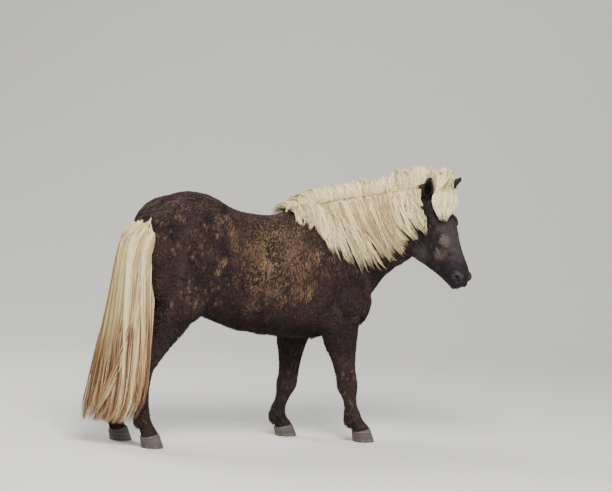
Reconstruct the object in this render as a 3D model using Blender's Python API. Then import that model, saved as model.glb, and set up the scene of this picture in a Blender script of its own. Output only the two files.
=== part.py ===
"""Icelandic horse, a still life-size model that stands on its four hooves.

The horse faces +X with its left side to +Y and stands on z = 0. Sizes are in metres
and reach to the outside of the winter coat. The body is modelled whole from egg-shaped
sections and muscle masses, fused by a voxel remesh, and then parted by thin cuts.
"""
import itertools
import math
import random

import bmesh
import bpy
import numpy as np
from mathutils import Matrix, Vector
from mathutils.bvhtree import BVHTree

# Clearance between neighbours, and the wider ones where a body is parted by a cut and round an ear
GAP = 0.0003
CUT_GAP = 0.0005
EAR_GAP = 0.0006
# Lengths under which an edge is a sliver, the first that leaves a body closed being used
SLIVERS = (0.00005, 0.00002, 0.000005)

# The body fuses on a coarse voxel and the head on a fine one
BODY_VOXEL = 0.013
HEAD_VOXEL = 0.0065
BODY_FACES = 4440
HEAD_FACES = 2100

# Trunk sections: place along the body, top, underside, half width, level of the widest point
TRUNK = (
    (-0.760, 1.160, 1.000, 0.035, 1.08),
    (-0.737, 1.225, 0.900, 0.115, 1.06),
    (-0.690, 1.281, 0.830, 0.172, 1.06),
    (-0.620, 1.338, 0.780, 0.208, 1.07),
    (-0.530, 1.375, 0.745, 0.230, 1.08),
    (-0.440, 1.385, 0.728, 0.240, 1.08),
    (-0.360, 1.374, 0.702, 0.243, 1.07),
    (-0.290, 1.345, 0.675, 0.250, 1.04),
    (-0.210, 1.301, 0.645, 0.260, 1.00),
    (-0.120, 1.276, 0.622, 0.272, 0.96),
    (0.000, 1.262, 0.606, 0.280, 0.92),
    (0.080, 1.268, 0.597, 0.275, 0.90),
    (0.160, 1.293, 0.588, 0.260, 0.89),
    (0.250, 1.318, 0.582, 0.240, 0.88),
    (0.340, 1.310, 0.586, 0.220, 0.88),
    (0.430, 1.250, 0.615, 0.202, 0.88),
    (0.520, 1.140, 0.645, 0.180, 0.88),
    (0.590, 1.020, 0.690, 0.150, 0.87),
    (0.640, 0.940, 0.745, 0.105, 0.86),
    (0.664, 0.890, 0.800, 0.045, 0.85),
)
TRUNK_SQUARENESS = 2.25

# Neck sections: crest point, throat-side point, half width. The neck bends to the right.
NECK = (
    ((0.160, 0.000, 1.285), (0.500, 0.000, 0.720), 0.160),
    ((0.275, -0.003, 1.318), (0.635, -0.004, 0.775), 0.160),
    ((0.385, -0.025, 1.345), (0.705, -0.030, 0.870), 0.138),
    ((0.495, -0.068, 1.370), (0.742, -0.075, 0.942), 0.118),
    ((0.600, -0.130, 1.394), (0.768, -0.130, 0.990), 0.105),
    ((0.700, -0.212, 1.420), (0.786, -0.186, 1.022), 0.100),
    ((0.785, -0.295, 1.446), (0.794, -0.236, 1.050), 0.096),
    ((0.850, -0.368, 1.462), (0.800, -0.286, 1.085), 0.090),
)
NECK_WIDEST = 0.42

# Muscle masses on each side of the trunk: centre, radii, lean of the top to the rear in degrees
MASSES = (
    ((0.395, 0.140, 1.030), (0.090, 0.068, 0.250), 36),
    ((0.450, 0.150, 0.800), (0.155, 0.075, 0.110), -14),
    ((0.560, 0.075, 0.790), (0.090, 0.085, 0.140), 0),
    ((0.350, 0.172, 0.720), (0.085, 0.055, 0.090), 0),
    ((-0.500, 0.110, 1.175), (0.235, 0.125, 0.185), 0),
    ((-0.320, 0.168, 1.180), (0.110, 0.062, 0.110), 0),
    ((-0.590, 0.145, 0.960), (0.155, 0.092, 0.250), 8),
    ((-0.480, 0.160, 0.800), (0.085, 0.076, 0.125), -20),
    ((-0.685, 0.095, 1.060), (0.070, 0.080, 0.150), 0),
)

# Leg joints of the pose as (along, out from the midline, up), from the top down
FORE_RIGHT = ((0.425, 0.160, 0.700), (0.497, 0.138, 0.337), (0.550, 0.132, 0.150), (0.602, 0.132, 0.068))
FORE_LEFT = ((0.312, 0.160, 0.700), (0.256, 0.132, 0.314), (0.206, 0.128, 0.134), (0.240, 0.128, 0.060))
HIND_RIGHT = ((-0.530, 0.160, 0.800), (-0.722, 0.136, 0.440), (-0.727, 0.136, 0.176), (-0.685, 0.138, 0.070))
HIND_LEFT = ((-0.535, 0.160, 0.800), (-0.772, 0.132, 0.440), (-0.800, 0.134, 0.174), (-0.760, 0.138, 0.068))

# Leg girths: bone counted from the top, share down it, reach to the front, to the back and sideways
FORE_GIRTHS = (
    (0, 0.00, 0.120, 0.140, 0.075),
    (0, 0.25, 0.096, 0.120, 0.067),
    (0, 0.50, 0.076, 0.096, 0.057),
    (0, 0.75, 0.061, 0.071, 0.049),
    (0, 0.92, 0.060, 0.062, 0.047),
    (1, 0.05, 0.061, 0.064, 0.048),
    (1, 0.22, 0.056, 0.058, 0.043),
    (1, 0.45, 0.041, 0.045, 0.034),
    (1, 0.70, 0.033, 0.042, 0.031),
    (1, 0.90, 0.037, 0.050, 0.036),
    (2, 0.10, 0.039, 0.055, 0.039),
    (2, 0.50, 0.036, 0.044, 0.036),
    (2, 1.00, 0.046, 0.048, 0.045),
)
HIND_GIRTHS = (
    (0, 0.00, 0.105, 0.150, 0.082),
    (0, 0.25, 0.098, 0.120, 0.076),
    (0, 0.50, 0.078, 0.086, 0.064),
    (0, 0.75, 0.058, 0.062, 0.050),
    (0, 0.94, 0.054, 0.066, 0.045),
    (1, 0.05, 0.047, 0.060, 0.044),
    (1, 0.20, 0.037, 0.047, 0.037),
    (1, 0.40, 0.029, 0.035, 0.030),
    (1, 0.72, 0.028, 0.034, 0.029),
    (1, 0.92, 0.034, 0.045, 0.035),
    (2, 0.10, 0.036, 0.052, 0.038),
    (2, 0.50, 0.034, 0.042, 0.035),
    (2, 1.00, 0.044, 0.046, 0.044),
)

# Hoof: the coronet's tilt, reach of the toe and heel from the coronet's middle, flare at the ground
CORONET_SLOPE = 0.22
HOOF_TOE = 0.082
HOOF_HEEL = 0.040
HOOF_HALF_WIDTH = 0.057
CORONET_TOE = 0.050
CORONET_HEEL = 0.052
CORONET_HALF_WIDTH = 0.048

# Head pose: its own frame runs from the poll to the muzzle, up its forehead and to its left
POLL = (0.858, -0.382, 1.463)
HEAD_YAW = 73.0
HEAD_PITCH = 56.0
# Head sections: share of length, forehead side, jaw side, half width, level of the widest point
HEAD_LENGTH = 0.572
HEAD = (
    (-0.10, -0.030, -0.235, 0.060, 0.50),
    (0.00, -0.008, -0.290, 0.076, 0.58),
    (0.10, 0.000, -0.330, 0.088, 0.64),
    (0.20, 0.004, -0.362, 0.096, 0.72),
    (0.31, 0.004, -0.366, 0.100, 0.76),
    (0.42, -0.002, -0.344, 0.095, 0.75),
    (0.52, -0.010, -0.310, 0.083, 0.73),
    (0.62, -0.016, -0.270, 0.072, 0.69),
    (0.72, -0.018, -0.232, 0.063, 0.65),
    (0.81, -0.018, -0.200, 0.058, 0.61),
    (0.89, -0.024, -0.176, 0.055, 0.57),
    (0.95, -0.038, -0.160, 0.048, 0.55),
    (0.985, -0.060, -0.138, 0.034, 0.55),
    (1.00, -0.080, -0.118, 0.016, 0.50),
)
HEAD_SQUARENESS = 2.35
# Masses on each side of the head: along, up the forehead, out, then the three radii
HEAD_MASSES = (
    (0.185, -0.165, 0.052, 0.100, 0.105, 0.036),
    (0.192, -0.042, 0.082, 0.042, 0.026, 0.022),
    (0.290, -0.108, 0.068, 0.080, 0.013, 0.013),
    (0.528, -0.060, 0.040, 0.030, 0.027, 0.018),
    (0.545, -0.092, 0.018, 0.034, 0.026, 0.030),
    (0.535, -0.142, 0.012, 0.032, 0.017, 0.024),
)
EYE_PLACE = (0.205, -0.066, 0.0755)
EYE_RADIUS = 0.0215
EYE_SEGMENTS = 16
LID_THICKNESS = 0.0042
EYE_OPENING = (0.0190, 0.0125)
EYE_SLANT = 14.0
NOSTRIL_PLACE = (0.534, -0.058, 0.056)
NOSTRIL_RADII = (0.017, 0.0105, 0.020)
NOSTRIL_SLANT = 38.0
MOUTH_CORNER = (0.478, -0.126)
MOUTH_FRONT = (0.600, -0.112)
MOUTH_GAP = 0.003

# Ears: root on the head, reach forward, outward and up in the world, and the cup's sizes
EAR_ROOT = (0.034, -0.022, 0.064)
EAR_REACH = (0.070, 0.062, 0.098)
EAR_RADIUS = 0.027
EAR_WALL = 0.0055
EAR_SECTIONS = ((-0.10, 0.70, 168), (0.08, 0.84, 150), (0.28, 1.00, 122), (0.50, 0.92, 108),
                (0.72, 0.64, 100), (0.90, 0.32, 92), (1.00, 0.13, 88))
EAR_ARC_POINTS = 8

# Planes that part the body: each cut runs through two points of the side view
NECK_CUT = ((0.175, 1.300), (0.660, 0.755))
HEAD_CUT = ((-0.045, 0.000), (0.150, -0.370))
NECK_END_HEADING = (0.72, 0.69)

# Mane: how far forward, out and down each side's tips lie from the crest, at each neck section
MANE_RIGHT = (
    (-0.020, 0.150, 0.060),
    (-0.048, 0.190, 0.148),
    (-0.005, 0.175, 0.305),
    (0.065, 0.087, 0.395),
    (0.100, 0.025, 0.394),
    (0.085, 0.005, 0.360),
    (0.005, 0.100, 0.281),
    (-0.060, 0.070, 0.262),
)
MANE_LEFT_OUT = 0.135
MANE_LEFT_DOWN = 0.150
MANE_FLUFF = (0.020, 0.040, 0.050, 0.052, 0.054, 0.062, 0.074, 0.070)
MANE_ARCH = 0.080
MANE_CORE_SHARE = 0.42
MANE_CORE_DEPTH = 0.006
MANE_ROOT_DEPTH = 0.018

# Forelock sections on the head: along it, up from the forehead, middle to the left, half width, thickness
FORELOCK = (
    (-0.050, 0.045, 0.000, 0.060, 0.055),
    (-0.010, 0.058, 0.010, 0.085, 0.068),
    (0.040, 0.050, 0.016, 0.104, 0.062),
    (0.090, 0.036, 0.006, 0.104, 0.050),
    (0.140, 0.024, -0.015, 0.084, 0.036),
    (0.185, 0.016, -0.044, 0.048, 0.022),
    (0.228, 0.012, -0.064, 0.018, 0.012),
)
FORELOCK_CORE_SECTIONS = 3

# Tail sections: level, rear left edge, front right edge, half thickness
TAIL = (
    (1.205, (-0.770, 0.030), (-0.690, -0.050), 0.028),
    (1.150, (-0.795, 0.045), (-0.715, -0.100), 0.042),
    (1.080, (-0.808, 0.052), (-0.735, -0.145), 0.050),
    (0.950, (-0.822, 0.060), (-0.750, -0.180), 0.056),
    (0.800, (-0.842, 0.066), (-0.752, -0.196), 0.058),
    (0.650, (-0.870, 0.070), (-0.752, -0.205), 0.058),
    (0.500, (-0.902, 0.070), (-0.755, -0.205), 0.055),
    (0.330, (-0.948, 0.062), (-0.765, -0.198), 0.046),
    (0.200, (-0.985, 0.050), (-0.790, -0.180), 0.030),
    (0.130, (-1.005, 0.030), (-0.840, -0.140), 0.012),
)
TAIL_CLEARANCE = 0.014
TAIL_CORE_SECTIONS = 9
TAIL_CORE_SPREAD = 0.72

# Locks: how many, their width, thickness, and the heights of their two layers
MANE_RIGHT_LOCKS = (15, 0.100, 0.012, (0.010, 0.032))
MANE_LEFT_LOCKS = (5, 0.180, 0.013, (0.010, 0.034))
FORELOCK_LOCKS = (7, 0.056, 0.011, (0.84, 1.18))
TAIL_LOCKS = (13, 0.090, 0.012, (0.80, 1.06))
LOCK_POINTS = 5
# Share of a lock's thickness that lies under its edges
LOCK_BELLY = 0.3
LOCK_SEED = 16
# First and last place of the mane's locks along the neck sections, and how deep their roots lie
MANE_PLACES = (0.45, 6.65)
MANE_SUNK = 0.022
# Share of a node's volume that is left, at the least, where it is cut clear of its neighbours
CUT_SHARE = 0.9
DIAGONAL_ROUNDS = 3

COAT = ((0.085, 0.060, 0.052), 0.85)
CREAM_HAIR = ((0.80, 0.74, 0.52), 0.70)
HORN = ((0.060, 0.050, 0.045), 0.45)
EYE_GLOSS = ((0.012, 0.008, 0.006), 0.10)


def clear_scene():
    for item in list(bpy.data.objects):
        bpy.data.objects.remove(item)


def material(name, look):
    colour, roughness = look
    made = bpy.data.materials.get(name) or bpy.data.materials.new(name)
    made.use_nodes = True
    shader = made.node_tree.nodes["Principled BSDF"]
    shader.inputs["Base Color"].default_value = (*colour, 1.0)
    shader.inputs["Roughness"].default_value = roughness
    return made


def mesh_object(name, points, faces, look=None):
    mesh = bpy.data.meshes.new(name)
    mesh.from_pydata([tuple(p) for p in points], [], faces)
    body = bpy.data.objects.new(name, mesh)
    bpy.context.scene.collection.objects.link(body)
    if look:
        mesh.materials.append(look)
    return body


def evaluated(body):
    """The object's mesh with its modifiers applied, as a new mesh."""
    bpy.context.view_layer.update()
    graph = bpy.context.evaluated_depsgraph_get()
    return bpy.data.meshes.new_from_object(body.evaluated_get(graph), depsgraph=graph)


def bake_modifiers(body):
    mesh = evaluated(body)
    body.modifiers.clear()
    body.data = mesh
    return body


def discard(bodies):
    for body in bodies:
        bpy.data.objects.remove(body)


def egg(front, back, half_width, widest, across, squareness, sides):
    """Egg-shaped ring from the back point to the front one, broadest at the share called widest."""
    spine = front - back
    centre = back + spine * widest
    ahead = spine.normalized()
    points = []
    for k in range(sides):
        turn = 2 * math.pi * (k + 0.5) / sides
        rise, spread = math.sin(turn), math.cos(turn)
        rise = math.copysign(abs(rise) ** (2 / squareness), rise)
        spread = math.copysign(abs(spread) ** (2 / squareness), spread)
        reach = spine.length * (1 - widest if rise > 0 else widest)
        points.append(centre + ahead * rise * reach + across * spread * half_width)
    return points


def catmull(a, b, c, d, t):
    straight, bend, twist = c - a, 2 * a - 5 * b + 4 * c - d, 3 * b - a - 3 * c + d
    return 0.5 * (2 * b + straight * t + bend * t * t + twist * t ** 3)


def refine(rings, steps):
    """Rings with smooth ones added between them."""
    fine = []
    for k in range(len(rings) - 1):
        near = [rings[max(k - 1, 0)], rings[k], rings[k + 1], rings[min(k + 2, len(rings) - 1)]]
        for s in range(steps):
            fine.append([catmull(*four, s / steps) for four in zip(*near)])
    return fine + [rings[-1]]


def turn_faces_out(mesh):
    edit = bmesh.new()
    edit.from_mesh(mesh)
    bmesh.ops.recalc_face_normals(edit, faces=edit.faces)
    edit.to_mesh(mesh)
    edit.free()


def loft(name, rings, look=None):
    """Closed skin through rings of equal count, with flat ends."""
    count = len(rings[0])
    points = [p for ring in rings for p in ring]
    faces = []
    for r in range(len(rings) - 1):
        for k in range(count):
            a, b = r * count + k, r * count + (k + 1) % count
            faces.append((a, b, b + count, a + count))
    faces.append(tuple(reversed(range(count))))
    faces.append(tuple(range(len(points) - count, len(points))))
    body = mesh_object(name, points, faces, look)
    turn_faces_out(body.data)
    return body


def ball(name, centre, radii, turn=Matrix.Identity(4), segments=24, look=None):
    """Ellipsoid whose radii lie along the axes of turn."""
    edit = bmesh.new()
    bmesh.ops.create_uvsphere(edit, u_segments=segments, v_segments=segments // 2, radius=1.0)
    place = Matrix.Translation(centre) @ turn @ Matrix.Diagonal((*radii, 1.0))
    bmesh.ops.transform(edit, matrix=place, verts=edit.verts)
    bmesh.ops.recalc_face_normals(edit, faces=edit.faces)
    mesh = bpy.data.meshes.new(name)
    edit.to_mesh(mesh)
    edit.free()
    body = bpy.data.objects.new(name, mesh)
    bpy.context.scene.collection.objects.link(body)
    if look:
        mesh.materials.append(look)
    return body


def smooth_mesh(mesh, rounds, weight):
    """Rounds of smoothing that keep the volume; weight gives each point's share of the move."""
    count = len(mesh.vertices)
    place = np.empty(count * 3)
    mesh.vertices.foreach_get("co", place)
    place = place.reshape(-1, 3)
    edges = np.empty(len(mesh.edges) * 2, int)
    mesh.edges.foreach_get("vertices", edges)
    a, b = edges.reshape(-1, 2).T
    degree = np.bincount(np.concatenate((a, b)), minlength=count)[:, None]
    share = weight(place)[:, None]
    for _ in range(rounds):
        for pull in (0.60, -0.62):
            total = np.zeros_like(place)
            np.add.at(total, a, place[b])
            np.add.at(total, b, place[a])
            place = place + pull * share * (total / degree - place)
    mesh.vertices.foreach_set("co", place.ravel())
    mesh.update()


def fuse_flesh(name, pieces, voxel, rounds, weight):
    """One smooth closed skin round all the pieces."""
    points, faces = [], []
    for piece in pieces:
        start = len(points)
        points += [v.co.copy() for v in piece.data.vertices]
        faces += [tuple(start + i for i in p.vertices) for p in piece.data.polygons]
    body = mesh_object(name, points, faces)
    remesh = body.modifiers.new("fuse", "REMESH")
    remesh.mode = "VOXEL"
    remesh.voxel_size = voxel
    bake_modifiers(body)
    smooth_mesh(body.data, rounds, weight)
    return body


def thin_out(body, faces):
    """Fewer triangles, most of them where the form bends."""
    triangles = sum(len(p.vertices) - 2 for p in body.data.polygons)
    fewer = body.modifiers.new("fewer", "DECIMATE")
    fewer.ratio = min(1.0, faces / triangles)
    return bake_modifiers(body)


def turn_shared_diagonals(edit):
    """Where two flat faces were split along one and the same line, turns the line of one of them."""
    for edge in [e for e in edit.edges if len(e.link_faces) == 4]:
        pairs = sorted(itertools.combinations(edge.link_faces, 2),
                       key=lambda pair: -pair[0].normal.dot(pair[1].normal))
        for first, mate in pairs:
            start, end = edge.verts
            apex, foot = (next(v for v in face.verts if v not in edge.verts) for face in (first, mate))
            if apex is foot or edit.edges.get((apex, foot)):
                continue
            corners = list(first.verts)
            if corners[(corners.index(start) + 1) % 3] is not end:
                start, end = end, start
            edit.faces.remove(first)
            edit.faces.remove(mate)
            edit.faces.new((start, foot, apex))
            edit.faces.new((foot, end, apex))
            break


def volume(mesh):
    """The volume that a closed mesh holds."""
    edit = bmesh.new()
    edit.from_mesh(mesh)
    held = edit.calc_volume(signed=True)
    edit.free()
    return held


def split_and_closed(mesh, shortest=0.0):
    """The mesh in triangles where every edge joins exactly two of them, or None."""
    edit = bmesh.new()
    edit.from_mesh(mesh)
    if shortest:
        bmesh.ops.dissolve_degenerate(edit, edges=edit.edges, dist=shortest)
    bmesh.ops.triangulate(edit, faces=edit.faces)
    for _ in range(DIAGONAL_ROUNDS):
        edit.normal_update()
        turn_shared_diagonals(edit)
    split = mesh.copy()
    edit.to_mesh(split)
    sound = len(edit.faces) > 0 and all(edge.is_manifold and edge.is_contiguous for edge in edit.edges)
    edit.free()
    return split if sound else None


def boolean(body, others, operation, share=0.0):
    """body after one Boolean with all the others, which go, keeping at least a share of its volume."""
    least = share * volume(body.data)
    group = bpy.data.collections.new("operands")
    for other in others:
        group.objects.link(other)
    for solver, crossing in (("EXACT", False), ("EXACT", True), ("MANIFOLD", False)):
        step = body.modifiers.new("boolean", "BOOLEAN")
        step.operation = operation
        step.operand_type = "COLLECTION"
        step.collection = group
        step.solver = solver
        step.use_self = crossing
        result = split_and_closed(evaluated(body))
        body.modifiers.clear()
        if result and volume(result) >= least:
            break
    else:
        raise RuntimeError(f"the {operation} on {body.name} leaves it open or takes too much away")
    body.data = result
    bpy.data.collections.remove(group)
    discard(others)
    return body


def drop_slivers(body):
    """Takes out the very short edges that Booleans leave, where that keeps the body closed."""
    for shortest in SLIVERS:
        trial = split_and_closed(body.data, shortest)
        if trial:
            body.data = trial
            return


def copy_of(body, name):
    twin = bpy.data.objects.new(name, body.data.copy())
    bpy.context.scene.collection.objects.link(twin)
    return twin


def swollen(body, by):
    """Copy of body with its surface moved out by a hair's breadth, for cutting a neighbour clear."""
    twin = copy_of(body, body.name + "_swollen")
    edit = bmesh.new()
    edit.from_mesh(twin.data)
    edit.normal_update()
    for point in edit.verts:
        point.co += point.normal * by
    edit.to_mesh(twin.data)
    edit.free()
    return twin


def keep_largest(body):
    """Drops every closed surface of a body but the largest."""
    edit = bmesh.new()
    edit.from_mesh(body.data)
    edit.faces.ensure_lookup_table()
    left, shells = set(range(len(edit.faces))), []
    while left:
        shell, front = [], [left.pop()]
        while front:
            face = edit.faces[front.pop()]
            shell.append(face)
            near = {other.index for edge in face.edges for other in edge.link_faces} & left
            left -= near
            front += sorted(near)
        shells.append(shell)
    shells.sort(key=len)
    for shell in shells[:-1]:
        bmesh.ops.delete(edit, geom=shell, context="FACES")
    edit.to_mesh(body.data)
    edit.free()
    return body


def cut_clear(body, neighbours):
    """Cuts the body back so that it clears each neighbour."""
    for neighbour in neighbours:
        boolean(body, [swollen(neighbour, GAP)], "DIFFERENCE", CUT_SHARE)


def cut_round_ears(body):
    for side in (-1, 1):
        boolean(body, [ear("grown_ear", side, EAR_GAP)], "DIFFERENCE", CUT_SHARE)


def half_space(name, point, ahead, across):
    """Large block whose back face passes through point and looks against ahead."""
    size = 3.0
    up = ahead.cross(across).normalized()
    corners = []
    for a in (0.0, size):
        for u in (-size, size):
            for s in (-size, size):
                corners.append(point + ahead * a + up * u + across * s)
    faces = ((0, 1, 3, 2), (4, 6, 7, 5), (0, 4, 5, 1), (2, 3, 7, 6), (0, 2, 6, 4), (1, 5, 7, 3))
    block = mesh_object(name, corners, faces)
    turn_faces_out(block.data)
    return block


def trunk_form():
    side = Vector((0, 1, 0))
    rings = []
    for x, top, low, half, widest in TRUNK:
        share = (widest - low) / (top - low)
        rings.append(egg(Vector((x, 0, top)), Vector((x, 0, low)), half, share, side, TRUNK_SQUARENESS, 32))
    return loft("trunk_form", refine(rings, 3))


def neck_form():
    rings = []
    for k, (top, low, half) in enumerate(NECK):
        before, after = Vector(NECK[max(k - 1, 0)][0]), Vector(NECK[min(k + 1, len(NECK) - 1)][0])
        heading = after - before
        side = Vector((-heading.y, heading.x, 0)).normalized()
        rings.append(egg(Vector(top), Vector(low), half, NECK_WIDEST, side, 2.0, 32))
    return loft("neck_form", refine(rings, 4))


def muscle_forms():
    forms = []
    for centre, radii, lean in MASSES:
        for side in (-1, 1):
            place = Vector((centre[0], centre[1] * side, centre[2]))
            turn = Matrix.Rotation(math.radians(-lean), 4, "Y")
            forms.append(ball("muscle", place, radii, turn))
    return forms


def leg_form(joints, girths, side):
    """Leg from its top joint to the coronet, with rings square to each bone."""
    places = [Vector((x, y * side, z)) for x, y, z in joints]
    rings = []
    for bone, share, front, back, out in girths:
        a, b = places[bone], places[bone + 1]
        middle = a.lerp(b, share)
        run = (b - a).normalized()
        if share > 0.8 and bone + 2 < len(places):
            run = (run + (places[bone + 2] - b).normalized() * 0.5).normalized()
        ahead = Vector((-run.z, 0, run.x)).normalized()
        rings.append(egg(middle + ahead * front, middle - ahead * back, out, back / (front + back),
                         Vector((0, 1, 0)), 2.1, 20))
    last = places[-1] + (places[-1] - places[-2]).normalized() * 0.03
    rings.append([p + (last - places[-1]) for p in rings[-1]])
    return loft("leg_form", refine(rings, 3))


def hock_form(joints, side):
    """The point of the hock, behind and above its joint."""
    x, y, z = joints[1]
    turn = Matrix.Rotation(math.radians(-14), 4, "Y")
    return ball("hock", Vector((x - 0.040, y * side, z + 0.026)), (0.030, 0.028, 0.050), turn)


def head_axes():
    yaw, pitch = math.radians(HEAD_YAW), math.radians(HEAD_PITCH)
    facing = Vector((math.cos(yaw), -math.sin(yaw), 0))
    along = facing * math.cos(pitch) - Vector((0, 0, math.sin(pitch)))
    brow = facing * math.sin(pitch) + Vector((0, 0, math.cos(pitch)))
    return along, brow, brow.cross(along), facing


def head_point(place, side=1):
    along, brow, left, _ = head_axes()
    return Vector(POLL) + along * place[0] + brow * place[1] + left * place[2] * side


def head_turn(slant=0.0):
    """Rotation whose X runs to the muzzle, Y up the forehead and Z to the left."""
    along, brow, left, _ = head_axes()
    turn = Matrix((along, brow, left)).transposed().to_4x4()
    return turn @ Matrix.Rotation(math.radians(slant), 4, "Z")


def head_forms():
    left = head_axes()[2]
    rings = []
    for share, top, low, half, widest in HEAD:
        place = share * HEAD_LENGTH
        front, back = head_point((place, top, 0)), head_point((place, low, 0))
        rings.append(egg(front, back, half, widest, left, HEAD_SQUARENESS, 32))
    forms = [loft("head_form", refine(rings, 4))]
    for x, y, z, *radii in HEAD_MASSES:
        for side in (-1, 1):
            forms.append(ball("head_mass", head_point((x, y, z), side), radii, head_turn()))
    return forms


def body_weight(place):
    """Full smoothing on the trunk and neck, less down the legs."""
    return np.clip(0.35 + (place[:, 2] - 0.45) * 3.0, 0.35, 1.0)


def even_weight(place):
    return np.ones(len(place))


def prism(name, outline, low_y, high_y, shift=(0.0, 0.0)):
    """Block with a side-view outline, from low_y to high_y."""
    rings = [[Vector((x + shift[0], y, z + shift[1])) for x, z in outline] for y in (low_y, high_y)]
    return loft(name, rings)


def coronet_line(joints):
    """Side-view points of the tilted plane at the top of a hoof, front and back."""
    x, _, z = joints[3]
    return (x + 0.25, z - 0.25 * -CORONET_SLOPE), (x - 0.25, z - 0.25 * CORONET_SLOPE)


def fore_region(name, joints, side, shift=0.0):
    """Space of one foreleg below its cut, which climbs outward from the chest floor."""
    inner, outer = 0.030, 0.420
    corners = ((inner, 0.560), (outer, 0.560 + (outer - inner) * 0.58), (outer, -0.20), (inner, -0.20))
    back, front = joints[0][0] - 0.22, 0.80
    rings = [[Vector((x, y * side, z - shift)) for y, z in corners] for x in (back, front)]
    return loft(name, rings)


def hind_region(name, side, shift=0.0):
    """Space of one hind leg below its cut, which runs from the flank fold to the buttock."""
    outline = ((-0.360, -0.20), (-0.360, 0.640), (-0.425, 0.735),
               (-0.395, 0.820), (-0.900, 0.945), (-0.900, -0.20))
    inner = 0.0006 * side
    return prism(name, outline, min(inner, 0.5 * side), max(inner, 0.5 * side), (-shift, -shift))


def hoof_region(name, joints, side, lift):
    """Space below the coronet of one leg."""
    front, back = coronet_line(joints)
    outline = (front, back, (back[0], -0.3), (front[0], -0.3))
    middle = joints[3][1] * side
    return prism(name, outline, middle - 0.10, middle + 0.10, (0.0, lift))


def hoof(name, joints, side):
    """Horn box with a sloped coronet and a flat sole."""
    x, y, z = joints[3]
    y *= side
    across = Vector((0, 1, 0))
    rings = []
    for t in (0.0, 0.5, 1.0):
        toe = CORONET_TOE + (HOOF_TOE - CORONET_TOE) * t
        heel = CORONET_HEEL + (HOOF_HEEL - CORONET_HEEL) * t
        half = CORONET_HALF_WIDTH + (HOOF_HALF_WIDTH - CORONET_HALF_WIDTH) * t
        front = Vector((x + toe, y, (z + toe * CORONET_SLOPE) * (1 - t)))
        back = Vector((x - heel, y, (z - heel * CORONET_SLOPE) * (1 - t)))
        rings.append(egg(front, back, half, 0.52, across, 2.2, 20))
    return loft(name, rings, material("horn", HORN))


def eye_cutters(side):
    """The round socket, and the almond opening between the lids."""
    centre = head_point(EYE_PLACE, side)
    socket = ball("socket", centre, [EYE_RADIUS + GAP] * 3, head_turn(), EYE_SEGMENTS)
    turn = head_turn(-EYE_SLANT)
    left = head_axes()[2] * side
    rings = []
    for reach in (0.004, 0.040):
        ring = []
        for k in range(16):
            angle = 2 * math.pi * k / 16
            lift = math.sin(angle) * (0.75 if k > 8 else 1.0)
            local = Vector((math.cos(angle) * EYE_OPENING[0], lift * EYE_OPENING[1], 0))
            ring.append(centre + turn.to_3x3() @ local + left * reach)
        rings.append(ring)
    return [socket, loft("almond", rings)]


def nostril_cutter(side):
    turn = head_turn(NOSTRIL_SLANT)
    return ball("nostril", head_point(NOSTRIL_PLACE, side), NOSTRIL_RADII, turn, 16)


def mouth_cutter():
    """Thin slit between the lips, from the front of the muzzle back to the corners."""
    left = head_axes()[2]
    steps = 6
    rings = []
    for k in range(steps + 1):
        t = k / steps
        along = MOUTH_CORNER[0] + (MOUTH_FRONT[0] - MOUTH_CORNER[0]) * t
        level = MOUTH_CORNER[1] + (MOUTH_FRONT[1] - MOUTH_CORNER[1]) * t - 0.006 * math.sin(math.pi * t)
        half = MOUTH_GAP / 2 * min(1.0, 0.25 + 4 * t)
        upper, lower = head_point((along, level + half, 0)), head_point((along, level - half, 0))
        rings.append([upper + left * 0.08, upper - left * 0.08, lower - left * 0.08, lower + left * 0.08])
    return loft("mouth", rings)


def ear(name, side, grow=0.0):
    """Leaf-shaped cup, open to the front and outside, with its root in the head; grow swells it."""
    _, _, left, facing = head_axes()
    root = head_point(EAR_ROOT, side)
    reach = facing * EAR_REACH[0] + left * EAR_REACH[1] * side + Vector((0, 0, EAR_REACH[2]))
    axis = reach.normalized()
    opening = (facing * 0.55 + left * side * 0.85)
    opening = (opening - axis * opening.dot(axis)).normalized()
    across = axis.cross(opening)
    rings = []
    for share, size, spread in EAR_SECTIONS:
        radius = EAR_RADIUS * size
        wall = min(EAR_WALL, radius * 0.62) + 2 * grow
        half_turn = math.radians(spread) + grow / radius
        radius += grow
        centre = root + reach * share + axis * grow * (2 * share - 1)
        outer, inner = [], []
        for k in range(EAR_ARC_POINTS):
            turn = half_turn * (2 * k / (EAR_ARC_POINTS - 1) - 1)
            aim = opening * -math.cos(turn) + across * math.sin(turn)
            outer.append(centre + aim * radius)
            inner.append(centre + aim * (radius - wall))
        rings.append(outer + inner[::-1])
    return loft(name, rings, material("coat", COAT))


def eye(name, side):
    return ball(name, head_point(EYE_PLACE, side), [EYE_RADIUS] * 3, head_turn(), EYE_SEGMENTS,
                material("eye", EYE_GLOSS))


def between(values, place):
    """Value at a fractional place along a row of numbers or points."""
    k = min(int(place), len(values) - 2)
    near = [values[max(k - 1, 0)], values[k], values[k + 1], values[min(k + 2, len(values) - 1)]]
    if not hasattr(values[0], "__len__"):
        return catmull(*near, place - k)
    return Vector([catmull(*four, place - k) for four in zip(*near)])


def clear_of_skin(point, skin, lift):
    """The point, moved out to at least the given height over the body's skin."""
    near, normal, _, _ = skin.find_nearest(point)
    height = (point - near).dot(normal)
    if height < lift:
        return near + normal * lift
    return point


def mane_root(place):
    """Crest point, and the level directions ahead along the neck and out to its left."""
    crest = [top for top, _, _ in NECK]
    ahead = between(crest, min(place + 0.2, len(crest) - 1)) - between(crest, max(place - 0.2, 0))
    ahead.z = 0
    ahead.normalize()
    return between(crest, place), ahead, Vector((-ahead.y, ahead.x, 0))


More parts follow.
